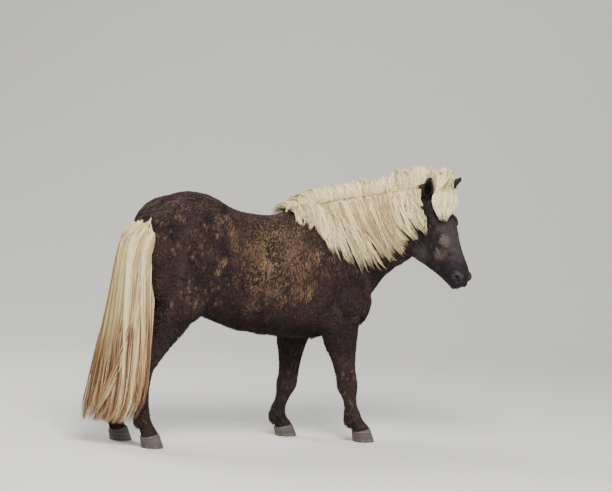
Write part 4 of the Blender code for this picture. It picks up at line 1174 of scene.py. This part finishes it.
def lie_of_coat(place, normal):
    """Direction in which the coat lies: back and down the body, down the legs, down the face."""
    flow = np.empty_like(place)
    flow[:] = (-0.72, 0.0, -0.55)
    down = np.array((0.0, 0.0, -1.0))
    leg = np.clip((0.66 - place[:, 2]) / 0.14, 0, 1)[:, None]
    flow = flow * (1 - leg) + down * leg
    chest = np.clip((place[:, 0] - 0.45) / 0.15, 0, 1)[:, None]
    flow = flow * (1 - chest) + np.array((-0.25, 0.0, -0.95)) * chest
    local = to_head(place)
    along = np.array(head_axes()[0])
    brow = np.array(head_axes()[1])
    on_head = np.clip((local[:, 0] + 0.05) / 0.10, 0, 1) * (np.abs(local[:, 2]) < 0.2) * (local[:, 1] > -0.46)
    on_head = (on_head * (place[:, 2] > 0.85))[:, None]
    jaw = np.clip((-local[:, 1] - 0.10) / 0.15, 0, 1)[:, None]
    face = along * (1 - jaw) + (-brow * 0.8 + along * 0.3) * jaw
    flow = flow * (1 - on_head) + face * on_head
    flow = flow - normal * (flow * normal).sum(axis=1, keepdims=True)
    return unit(flow), on_head[:, 0]


def hair_length(place, on_head):
    """Hair length at points of the skin."""
    size = sizes()
    length = np.full(len(place), size.flank_hair)
    leg = np.clip((0.66 - place[:, 2]) / 0.20, 0, 1)
    length = length * (1 - leg) + size.leg_hair * leg
    trunk = np.clip((place[:, 0] + 0.42) / 0.10, 0, 1) * np.clip((0.50 - place[:, 0]) / 0.10, 0, 1)
    belly = trunk * np.clip((0.70 - place[:, 2]) / 0.07, 0, 1) * (place[:, 2] > 0.54)
    length = length * (1 - belly) + size.belly_hair * belly
    local = to_head(place)
    jaw = np.clip((-local[:, 1] - 0.24) / 0.08, 0, 1) * np.clip((0.34 - local[:, 0]) / 0.14, 0, 1)
    face = size.face_hair + jaw * 0.028 + np.clip((0.12 - local[:, 0]) / 0.15, 0, 1) * 0.010
    chin = np.clip((local[:, 0] - 0.49) / 0.03, 0, 1) * np.clip((-local[:, 1] - 0.145) / 0.02, 0, 1)
    face = face + chin * 0.010
    return length * (1 - on_head) + face * on_head


def fetlock_share(place):
    """1 behind the fetlocks, where the hair is long."""
    share = np.zeros(len(place))
    for _, joints, _, side in LEGS:
        x, y, z = joints[2]
        back = np.exp(-(((place[:, 0] - x + 0.045) / 0.035) ** 2 + ((place[:, 2] - z + 0.01) / 0.055) ** 2
                        + ((place[:, 1] - y * side) / 0.06) ** 2))
        share = np.maximum(share, back)
    return np.clip(share * 1.3, 0, 1)


def grow_coat(name, hide, count, weight, width, seed, lift=1.0):
    """Short tufts spread over the skin that lie along the body, in pieces small enough to export."""
    draw = np.random.default_rng(seed)
    place, normal, flat = hide.scatter(count, weight, draw)
    flow, on_head = lie_of_coat(place, normal)
    cross = np.cross(normal, flow)
    swirl = wander(place, 14.0, seed + 1) * 0.35 + wander(place, 55.0, seed + 2) * 0.30
    swirl = swirl + draw.normal(0, 0.16, count)
    flow = unit(flow + cross * swirl[:, None])
    length = hair_length(place, on_head) * (1 + 0.22 * wander(place, 40.0, seed + 3)) * draw.uniform(0.75, 1.2, count)
    fetlock = fetlock_share(place)
    length = length + fetlock * 0.030
    belly = np.clip(-normal[:, 2], 0, 1) * (place[:, 2] > 0.54) * (1 - on_head)
    flow = unit(flow + np.array((0.0, 0.0, -0.35)) * np.maximum(belly, fetlock * 1.3)[:, None])
    stand = (0.11 + 0.05 * wander(place, 30.0, seed + 4) + draw.uniform(-0.05, 0.08, count)) * lift
    root = place - normal * 0.0015
    middle = root + flow * (length * 0.5)[:, None] + normal * (length * stand + 0.0015)[:, None]
    tip = root + flow * length[:, None] + normal * (length * stand * 1.15)[:, None]
    tip = tip - np.array((0.0, 0.0, 1.0)) * (length * 0.10)[:, None]
    paths = np.stack((root, middle, tip), axis=1)
    normals = np.repeat(normal[:, None], 3, axis=1)
    widths = width * (0.55 + 13.0 * length) * draw.uniform(0.8, 1.25, count)
    tones = draw.normal(0, 0.6, count) + wander(place, 60.0, seed + 5) * 0.5
    profile = np.array((0.75, 1.0, 0.0))
    order = np.argsort(place[:, 0])
    pieces = []
    parts = max(1, math.ceil(count / PIECE_TUFTS))
    for k, chosen in enumerate(np.array_split(order, parts)):
        label = f"{name}_{k + 1}"
        pieces.append(hair_mesh(label, paths[chosen], normals[chosen], widths[chosen], 0.55, profile,
                                np.clip(tones[chosen], -1, 1), flat[chosen]))
    return pieces


def clear_of_skin(point, tree, lift):
    """The point, moved out to at least the given height over the skin."""
    near, normal, _, _ = tree.find_nearest(point)
    if (point - near).dot(normal) < lift:
        return near + normal * lift
    return point


def mane_root(place):
    """Crest point, and the level directions ahead along the neck and out to its left."""
    crest = [top for top, _, _ in NECK]
    ahead = between(crest, min(place + 0.2, len(crest) - 1)) - between(crest, max(place - 0.2, 0))
    ahead.z = 0
    ahead.normalize()
    return between(crest, place), ahead, Vector((-ahead.y, ahead.x, 0))


def mane_point(place, share, lift, tree):
    """Point of the mane's right side from the crest, share 0, to the tips, share 1."""
    place = min(max(place, 0.0), len(NECK) - 1.0)
    root, _, left = mane_root(place)
    forward, out, down = between(MANE_RIGHT, place)
    tip = root + Vector((forward, -out, -down))
    arch = MANE_ARCH * min(1, 0.2 + place / 2.5)
    point = root.lerp(tip, share) - left * arch * 4 * share * (1 - share)
    point.z += between(MANE_FLUFF, place) * MANE_PARTING * (1 - share) ** 3 * min(1, share * 8)
    return clear_of_skin(point, tree, lift)


def far_guide(place, rise, drift, steps, tree):
    """Lock of the mane's far side: up from the crest, over in an arch and down the neck's left."""
    root, ahead, left = mane_root(min(max(place, 0.0), len(NECK) - 1.0))
    share = min(1, 0.35 + 0.5 * max(place, 0))
    top = between(MANE_RISE, min(max(place, 0.0), len(NECK) - 1.0)) * rise * share
    wide, low = MANE_LEFT_OUT * share, MANE_LEFT_DOWN * share
    rows = [root + left * out + ahead * drift * along + Vector((0, 0, up)) for out, along, up in (
        (0.000, 0.0, -0.020), (0.06 * wide, 0.2, top * 0.70), (0.3 * wide, 0.6, top), (0.7 * wide, 0.9, top * 0.45),
        (wide, 1.0, -0.2 * low), (wide, 1.1, -low * (0.5 + 0.5 * rise)))]
    guide = [between(rows, (len(rows) - 1) * j / (steps - 1)) for j in range(steps)]
    return [guide[0]] + [clear_of_skin(point, tree, 0.006) for point in guide[1:]]


def strands_round(guides, normals, per_lock, spread, settings, draw):
    """Hair paths bundled round lock guides: wide at the roots, drawn together at the tips, and waved."""
    locks, steps, _ = guides.shape
    wave, close, trim = settings
    share = np.linspace(0, 1, steps)
    runs = unit(np.gradient(guides, axis=1))
    side = unit(np.cross(runs, normals))
    across = draw.uniform(-1, 1, (locks, per_lock))
    height = draw.uniform(0, 1, (locks, per_lock)) ** 1.5
    gather = 1 - close * share
    phase = draw.uniform(0, 2 * math.pi, (locks, 1, 1)) + draw.normal(0, 0.5, (locks, per_lock, 1))
    turns = draw.uniform(0.8, 1.9, (locks, 1, 1))
    curl = wave * np.sin(2 * math.pi * turns * share + phase) * share ** 0.8
    own = draw.normal(0, 0.35, (locks, per_lock, 1)) * wave * np.sin(2 * math.pi * 3 * share + phase * 2)
    out = spread[:, None, None] * (across[:, :, None] * gather)
    out = out + curl + own
    up = (0.010 * height[:, :, None]) * (0.4 + 0.6 * np.sin(math.pi * np.clip(share * 0.9 + 0.1, 0, 1)))
    paths = guides[:, None] + side[:, None] * out[..., None] + normals[:, None] * up[..., None]
    ends = 1 - trim * draw.random((locks, per_lock)) ** 2
    paths = resample(paths.reshape(-1, steps, 3), ends.reshape(-1))
    return paths, np.repeat(normals[:, None], per_lock, axis=1).reshape(-1, steps, 3)


def resample(paths, ends):
    """Paths cut short at their own share of the way."""
    hairs, steps, _ = paths.shape
    at = np.linspace(0, 1, steps)[None] * ends[:, None] * (steps - 1)
    low = np.minimum(at.astype(int), steps - 2)
    part = (at - low)[..., None]
    rows = np.arange(hairs)[:, None]
    return paths[rows, low] * (1 - part) + paths[rows, low + 1] * part


def hair_piece(name, hide, paths, normals, widths, tones, thickness=0.45):
    steps = paths.shape[1]
    share = np.linspace(0, 1, steps)
    profile = np.clip(0.55 + 1.6 * share, 0, 1) * np.sqrt(np.clip(1 - share ** 5, 0, 1))
    return hair_mesh(name, paths, normals, widths, thickness, profile, np.clip(tones, -1, 1),
                     hide.flat_near(paths[:, 0]))


def mane_side(hide, side, locks, seed, first, last, slant):
    """Lock guides down one side of the neck, in layers, with their surface normals."""
    draw = np.random.default_rng(seed)
    steps = 9
    guides, normals = [], []
    for k in range(locks):
        place = first + (last - first) * (k + draw.random()) / locks
        if side > 0:
            rise = 1.02 - 0.85 * draw.random() ** 1.3
            guide = far_guide(place, rise, draw.normal(slant, 0.035), steps, hide.tree)
            ahead = mane_root(min(max(place, 0.0), len(NECK) - 1.0))[1]
            runs = [guide[min(j + 1, steps - 1)] - guide[max(j - 1, 0)] for j in range(steps)]
            outward = [ahead.cross(run).normalized() for run in runs]
        else:
            drift = draw.normal(slant, 0.20) * min(1, 0.15 + max(place, 0) / 2)
            reach = draw.uniform(0.84, 1.06) if draw.random() > 0.2 else draw.uniform(0.5, 0.8)
            lift = draw.uniform(0.004, 0.034)
            guide, outward = [], []
            for j in range(steps):
                share = reach * j / (steps - 1)
                height = 0.003 + lift * math.sin(math.pi * min(1, 0.1 + share))
                point = mane_point(place + drift * share ** 1.2, share, height, hide.tree)
                outward.append(hide.tree.find_nearest(point)[1])
                guide.append(point if j else point - Vector((0, 0, 0.008)))
        guides.append(guide)
        normals.append(outward)
    return np.array(guides), np.array(normals)


def tail_point(level, turn, spread):
    """Point of the tail's outline at a fractional section, spread 1 at its surface."""
    heights = [section[0] for section in TAIL]
    rear, front = between([t[1] for t in TAIL], level), between([t[2] for t in TAIL], level)
    thick = between([t[3] for t in TAIL], level)
    middle, half = (rear + front) / 2, (front - rear) / 2
    normal = Vector((-half.y, half.x)).normalized()
    flat = middle + half * math.cos(turn) * spread + normal * thick * math.sin(turn) * spread
    return Vector((flat.x, flat.y, between(heights, level)))


def forelock_guide(draw, steps):
    """Lock from between the ears, up over the poll and down the forehead, with its outward directions."""
    _, brow, left, _ = head_axes()
    turn = math.radians(draw.uniform(8, 172))
    spread, dome = draw.uniform(0.5, 1.08), 1 - 0.7 * draw.random() ** 1.5
    root = (draw.uniform(-0.070, 0.030), -0.012, math.cos(turn) * 0.040)
    rows = [Vector(root), Vector((root[0] * 0.8, FORELOCK_RISE * dome, root[2] * 1.1))]
    for along, up, middle, half, thick in FORELOCK[2:]:
        rows.append(Vector((along, up - thick / 2 + thick / 2 * math.sin(turn) * spread + 0.012 * dome,
                            middle + half * math.cos(turn) * spread)))
    reach = (len(rows) - 1) * draw.uniform(0.72, 1.03)
    guide = [between(rows, reach * j / (steps - 1)) for j in range(steps)]
    outward = [(brow * math.sin(turn) + left * math.cos(turn) * 0.6).normalized()] * steps
    return guide, outward


def between_ears(local):
    """Head-frame points drawn in sideways so that none lies over an ear."""
    limit = 0.042 + np.clip(local[..., 0] - 0.042, 0, None) * 2.6
    local = local.copy()
    local[..., 2] = limit * np.tanh(local[..., 2] / limit)
    return local


class HORSE_OT_skin(bpy.types.Operator):
    """Models the skin of the body and the head with its ears"""
    bl_idname = "horse.skin"
    bl_label = "Skin"

    def execute(self, context):
        body = body_skin()
        head = head_skin()
        ears = [ear("ear_" + word, side) for word, side in (("right", -1), ("left", 1))]
        head = join("head_and_ears", [head, *ears])
        for part in (body, head):
            part.data.polygons.foreach_set("use_smooth", np.ones(len(part.data.polygons), bool))
            unwrap(part)
        half_map(body, 0.0, 0.68)
        half_map(head, 0.70, 1.0)
        BUILT["body"], BUILT["head"] = Hide(body), Hide(head)
        body.name, head.name = "skin_body", "skin_head"
        finish_piece(body, coat_finish("skin_of_body", looks(), True, False))
        finish_piece(head, coat_finish("skin_of_head", looks(), True, True))
        flesh = ["torso", "neck"] + [leg + "_leg" for leg, _, _, _ in LEGS]
        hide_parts(*flesh)
        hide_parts("head", "ear_right", "ear_left")
        return {"FINISHED"}


def half_map(body, low, high):
    """Scales a piece's unwrap into its own band, so that pieces share one map without overlap."""
    layer = body.data.uv_layers[COAT_BAKE_MAP].data
    flat = np.empty(len(layer) * 2)
    layer.foreach_get("uv", flat)
    flat = flat.reshape(-1, 2)
    flat[:, 0] = low + flat[:, 0] * (high - low)
    layer.foreach_set("uv", flat.ravel())


class HORSE_OT_coat(bpy.types.Operator):
    """Grows the tufts of the winter coat over the skin"""
    bl_idname = "horse.coat"
    bl_label = "Coat"

    def execute(self, context):
        size = sizes()
        body, head = BUILT["body"], BUILT["head"]
        finish = coat_finish("coat_of_body", looks(), False, False)
        middle = body.middle
        fine = 1.0 + 0.8 * (middle[:, 2] < 0.55)
        weight = fine * (middle[:, 2] > 0.075)
        for piece in grow_coat("coat_body", body, fewer(size.body_tufts), weight, 0.0056, 11):
            finish_piece(piece, finish)
        finish = coat_finish("coat_of_head", looks(), False, True)
        local = to_head(head.middle)
        opening = np.zeros(len(local))
        for place, radius in ((EYE_PLACE, 0.024), (NOSTRIL_PLACE, 0.020)):
            for side in (-1, 1):
                centre = np.array(head_point(place, side))
                opening = np.maximum(opening, np.linalg.norm(head.middle - centre, axis=1) < radius)
        lips = (local[:, 0] > 0.50) * 0.75
        weight = (1 - opening) * (1 - lips)
        for piece in grow_coat("coat_head", head, fewer(size.head_tufts), weight, 0.0046, 23, 0.75):
            finish_piece(piece, finish)
        return {"FINISHED"}


# Mane layers: piece, side, share of the strands, locks, seed, first and last root, slant of the tips,
# least and most half width of a lock, its wave, how far its tips close, how unequal they are, and its tone
# The tone is partly painted. The under layer's darker tone is tan hair plus painted shade between the locks, and the
# far side's raised tone is painted light.
MANE_SIDES = (
    ("mane_right_under", -1, 0.32, 78, 31, -0.2, 6.1, 0.95, (0.010, 0.022), (0.010, 0.92, 0.35), -0.30),
    ("mane_right_over", -1, 0.34, 62, 32, -0.2, 6.1, 1.05, (0.007, 0.017), (0.012, 0.90, 0.35), 0.10),
    ("mane_left", 1, 0.34, 150, 33, -0.1, 7.1, -0.04, (0.022, 0.040), (0.010, 0.55, 0.70), 0.45),
)


class HORSE_OT_mane(bpy.types.Operator):
    """Hangs the mane down both sides of the neck"""
    bl_idname = "horse.mane"
    bl_label = "Mane"

    def execute(self, context):
        finish = cream_finish("mane_cream", looks())
        hide = BUILT["body"]
        total = fewer(sizes().mane_hair)
        for name, side, share, locks, seed, first, last, slant, widest, shape, light in MANE_SIDES:
            draw = np.random.default_rng(seed)
            guides, normals = mane_side(hide, side, locks, seed, first, last, slant)
            per_lock = max(4, int(total * share / locks))
            spread = draw.uniform(*widest, locks)
            paths, ups = strands_round(guides, normals, per_lock, spread, shape, draw)
            count = len(paths)
            # Each layer's tone: painted shade under the top locks and painted light on the far side.
            tones = np.repeat(draw.normal(light, 0.30, locks), per_lock) + draw.normal(0.0, 0.40, count)
            widths = sizes().strand_width * draw.uniform(0.6, 1.4, count)
            piece = hair_piece(name, hide, paths, ups, widths, tones)
            finish_piece(piece, finish)
        return {"FINISHED"}


class HORSE_OT_forelock(bpy.types.Operator):
    """Lays the forelock over the poll and down the forehead"""
    bl_idname = "horse.forelock"
    bl_label = "Forelock"

    def execute(self, context):
        draw = np.random.default_rng(41)
        locks, steps = 64, 9
        made = [forelock_guide(draw, steps) for _ in range(locks)]
        per_lock = max(4, fewer(sizes().forelock_hair) // locks)
        spread = draw.uniform(0.012, 0.020, locks)
        axes = np.array(head_axes()[:3])
        guides = np.array([guide for guide, _ in made]) @ axes
        normals = np.array([outward for _, outward in made])
        paths, ups = strands_round(guides, normals, per_lock, spread, (0.004, 0.60, 0.35), draw)
        paths = between_ears(paths @ axes.T) @ axes + np.array(POLL)
        count = len(paths)
        tones = np.repeat(draw.normal(0, 0.25, locks), per_lock) + draw.normal(0.35, 0.35, count)
        widths = sizes().strand_width * draw.uniform(0.55, 1.1, count)
        piece = hair_piece("forelock", BUILT["head"], paths, ups, widths, tones)
        finish_piece(piece, cream_finish("forelock_cream", looks()))
        return {"FINISHED"}


# Tail layers: piece, share of the strands, locks, seed, and the shares of the tail's half width they fill
TAIL_LAYERS = (("tail_inner", 0.45, 60, 51, 0.15, 0.75), ("tail_outer", 0.55, 84, 52, 0.72, 1.05))
TAIL_CROSSING = 7


def tail_side(hide, locks, inner, outer, draw):
    """Lock guides round the tail between two shares of its width; a few cross from one edge to the other."""
    steps = 12
    last = len(TAIL) - 1
    guides, normals = [], []
    for k in range(locks):
        turn = 2 * math.pi * (k + draw.random()) / locks
        drift = draw.normal(0, 0.25)
        start = draw.uniform(0.0, 1.2)
        if k < TAIL_CROSSING and outer > 1:
            turn, drift, start = draw.uniform(5.7, 6.2), -draw.uniform(1.2, 2.2), draw.uniform(1.5, 4.0)
        reach = last + 0.15 - 2.0 * draw.random() ** 4
        spread = draw.uniform(inner, outer)
        guide, outward = [], []
        for j in range(steps):
            along = j / (steps - 1)
            level = start + (reach - start) * along
            wide = spread * min(1.12, 0.95 + 2.0 * along)
            point = tail_point(level, turn + drift * along, wide)
            guide.append(clear_of_skin(point, hide.tree, TAIL_CLEARANCE if j else 0.0))
            away = tail_point(level, turn + drift * along, 1.1) - tail_point(level, turn + drift * along, 0.9)
            outward.append(away.normalized())
        guides.append(guide)
        normals.append(outward)
    return np.array(guides), np.array(normals)


class HORSE_OT_tail(bpy.types.Operator):
    """Hangs the tail from the dock"""
    bl_idname = "horse.tail"
    bl_label = "Tail"

    def execute(self, context):
        hide = BUILT["body"]
        finish = tail_finish("tail_cream_and_brown", looks())
        total = fewer(sizes().tail_hair)
        for name, share, locks, seed, inner, outer in TAIL_LAYERS:
            draw = np.random.default_rng(seed)
            guides, normals = tail_side(hide, locks, inner, outer, draw)
            per_lock = max(4, int(total * share / locks))
            spread = draw.uniform(0.012, 0.026, locks)
            paths, ups = strands_round(guides, normals, per_lock, spread, (0.007, 0.62, 0.25), draw)
            count = len(paths)
            tones = np.repeat(draw.normal(0, 0.40, locks), per_lock) + draw.normal(0, 0.40, count)
            widths = sizes().strand_width * draw.uniform(0.6, 1.3, count)
            piece = hair_piece(name, hide, paths, ups, widths, tones)
            finish_piece(piece, finish)
        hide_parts("tail")
        return {"FINISHED"}


class HORSE_OT_hooves(bpy.types.Operator):
    """Models the four hooves"""
    bl_idname = "horse.hooves"
    bl_label = "Hooves"

    def execute(self, context):
        finish = horn_finish("hoof_horn", looks())
        for name, joints, _, side in LEGS:
            x, y, z = joints[3]
            across = Vector((0, 1, 0))
            rings = []
            for t in (0.0, 0.03, 0.25, 0.5, 0.75, 0.96, 1.0):
                tuck = 0.002 if t in (0.0, 1.0) else 0.0
                toe = CORONET_TOE + (HOOF_TOE - CORONET_TOE) * t - tuck
                heel = CORONET_HEEL + (HOOF_HEEL - CORONET_HEEL) * t - tuck
                half = CORONET_HALF_WIDTH + (HOOF_HALF_WIDTH - CORONET_HALF_WIDTH) * t - tuck
                front = Vector((x + toe, y * side, (z + toe * CORONET_SLOPE) * (1 - t)))
                back = Vector((x - heel, y * side, (z - heel * CORONET_SLOPE) * (1 - t)))
                rings.append(egg(front, back, half, 0.52, across, 2.2, 64))
            piece = loft("hoof_" + name, rings)
            for face in piece.data.polygons:
                face.use_smooth = len(face.vertices) == 4
            finish_piece(piece, finish)
            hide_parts(name + "_hoof")
        return {"FINISHED"}


class HORSE_OT_eyes(bpy.types.Operator):
    """Sets the two eyes in their sockets"""
    bl_idname = "horse.eyes"
    bl_label = "Eyes"

    def execute(self, context):
        finish = eye_finish("eye_gloss", looks())
        for word, side in (("right", -1), ("left", 1)):
            piece = ball("eyeball_" + word, head_point(EYE_PLACE, side), [EYE_RADIUS] * 3, head_turn(), 64)
            piece.data.polygons.foreach_set("use_smooth", np.ones(len(piece.data.polygons), bool))
            finish_piece(piece, finish)
            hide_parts("eye_" + word)
        return {"FINISHED"}


def area_light(name, place, target, size, power, colour):
    lamp = bpy.data.lights.new(name, "AREA")
    lamp.size = size
    lamp.energy = power
    lamp.color = colour
    holder = bpy.data.objects.new(name, lamp)
    holder.location = place
    holder.rotation_euler = (Vector(target) - Vector(place)).to_track_quat("-Z", "Y").to_euler()
    bpy.context.scene.collection.objects.link(holder)


def backdrop():
    """Floor that sweeps up behind the horse, square to the camera's bearing."""
    turn = Matrix.Rotation(-math.radians(VIEW_BEARING), 3, "Z")
    rows = [(-SWEEP_REACH, 0.0), (SWEEP_START, 0.0)]
    for k in range(1, SWEEP_STEPS + 1):
        angle = math.pi / 2 * k / SWEEP_STEPS
        rows.append((SWEEP_START + SWEEP_RADIUS * math.sin(angle), SWEEP_RADIUS * (1 - math.cos(angle))))
    rows.append((SWEEP_START + SWEEP_RADIUS, SWEEP_REACH))
    points = [turn @ Vector((side * SWEEP_REACH, away, up)) for away, up in rows for side in (-1, 1)]
    faces = [(2 * k, 2 * k + 1, 2 * k + 3, 2 * k + 2) for k in range(len(rows) - 1)]
    floor = mesh_object("floor", points, faces)
    floor.data.polygons.foreach_set("use_smooth", np.ones(len(faces), bool))
    return floor


class HORSE_OT_stage(bpy.types.Operator):
    """Adds the floor, the lights and the camera"""
    bl_idname = "horse.stage"
    bl_label = "Stage"

    def execute(self, context):
        floor = backdrop()
        finish = Sheet("pale_floor", Roughness=0.9, Specular_IOR_Level=0.1)
        finish.shader.inputs["Base Color"].default_value = rgb((0.62, 0.62, 0.60))
        floor.data.materials.append(finish.material)
        world = bpy.data.worlds.new("studio")
        world.use_nodes = True
        sky = world.node_tree.nodes["Background"]
        sky.inputs["Color"].default_value = rgb((0.90, 0.90, 0.92))
        sky.inputs["Strength"].default_value = 0.55
        bpy.context.scene.world = world
        area_light("key", (-1.5, -4.5, 6.0), (0, 0, 0.8), 3.0, 900, (1.0, 0.97, 0.90))
        area_light("fill", (5.0, -4.5, 3.0), (0.2, 0, 0.8), 3.5, 150, (0.98, 0.98, 1.0))
        area_light("back", (-2.5, 3.5, 5.0), (0, 0, 1.0), 3.0, 300, (1.0, 0.98, 0.94))
        camera_in_place()
        return {"FINISHED"}


def camera_in_place():
    """Camera at the photograph's bearing, height and framing."""
    bearing, rise, roll = (math.radians(a) for a in (VIEW_BEARING, VIEW_RISE, VIEW_ROLL))
    back = Vector((-math.sin(bearing) * math.cos(rise), -math.cos(bearing) * math.cos(rise), math.sin(rise)))
    right = Vector((math.cos(bearing), -math.sin(bearing), 0))
    up = back.cross(right)
    across = right * math.cos(roll) + up * math.sin(roll)
    above = up * math.cos(roll) - right * math.sin(roll)
    aim = Vector((0, 0, VIEW_TARGET_LEVEL)) + SHIFT
    step = VIEW_DISTANCE / VIEW_PIXELS
    aim = aim + across * (PICTURE[0] / 2 - VIEW_TARGET[0]) * step - above * (PICTURE[1] / 2 - VIEW_TARGET[1]) * step
    lens = bpy.data.cameras.new("camera")
    lens.sensor_width = 36.0
    lens.sensor_fit = "HORIZONTAL"
    lens.lens = 36.0 * VIEW_PIXELS / PICTURE[0]
    camera = bpy.data.objects.new("camera", lens)
    turn = Matrix((across, above, back)).transposed().to_4x4()
    camera.matrix_world = Matrix.Translation(aim + back * VIEW_DISTANCE) @ turn
    bpy.context.scene.collection.objects.link(camera)
    bpy.context.scene.camera = camera


class HORSE_PT_panel(bpy.types.Panel):
    """Lists the steps that build the horse"""
    bl_idname = "HORSE_PT_panel"
    bl_label = "Icelandic horse"
    bl_space_type = "VIEW_3D"
    bl_region_type = "UI"
    bl_category = "Horse"

    def draw(self, context):
        layout = self.layout
        for group in (context.scene.horse_coat_sizes, context.scene.horse_coat_looks):
            for label in group.bl_rna.properties.keys():
                if label not in ("rna_type", "name"):
                    layout.prop(group, label)
        for step in STEPS:
            layout.operator(step.bl_idname)


STEPS = (HORSE_OT_skin, HORSE_OT_coat, HORSE_OT_mane, HORSE_OT_forelock, HORSE_OT_tail, HORSE_OT_hooves,
         HORSE_OT_eyes, HORSE_OT_stage)
CLASSES = (HorseCoatLooks, HorseCoatSizes, *STEPS, HORSE_PT_panel)


def register():
    for kind in CLASSES:
        bpy.utils.register_class(kind)
    bpy.types.Scene.horse_coat_looks = PointerProperty(type=HorseCoatLooks)
    bpy.types.Scene.horse_coat_sizes = PointerProperty(type=HorseCoatSizes)


def unregister():
    del bpy.types.Scene.horse_coat_looks
    del bpy.types.Scene.horse_coat_sizes
    for kind in reversed(CLASSES):
        bpy.utils.unregister_class(kind)


def main():
    register()
    bpy.ops.horse.skin()
    bpy.ops.horse.coat()
    bpy.ops.horse.mane()
    bpy.ops.horse.forelock()
    bpy.ops.horse.tail()
    bpy.ops.horse.hooves()
    bpy.ops.horse.eyes()
    bpy.ops.horse.stage()


if __name__ == "__main__":
    main()
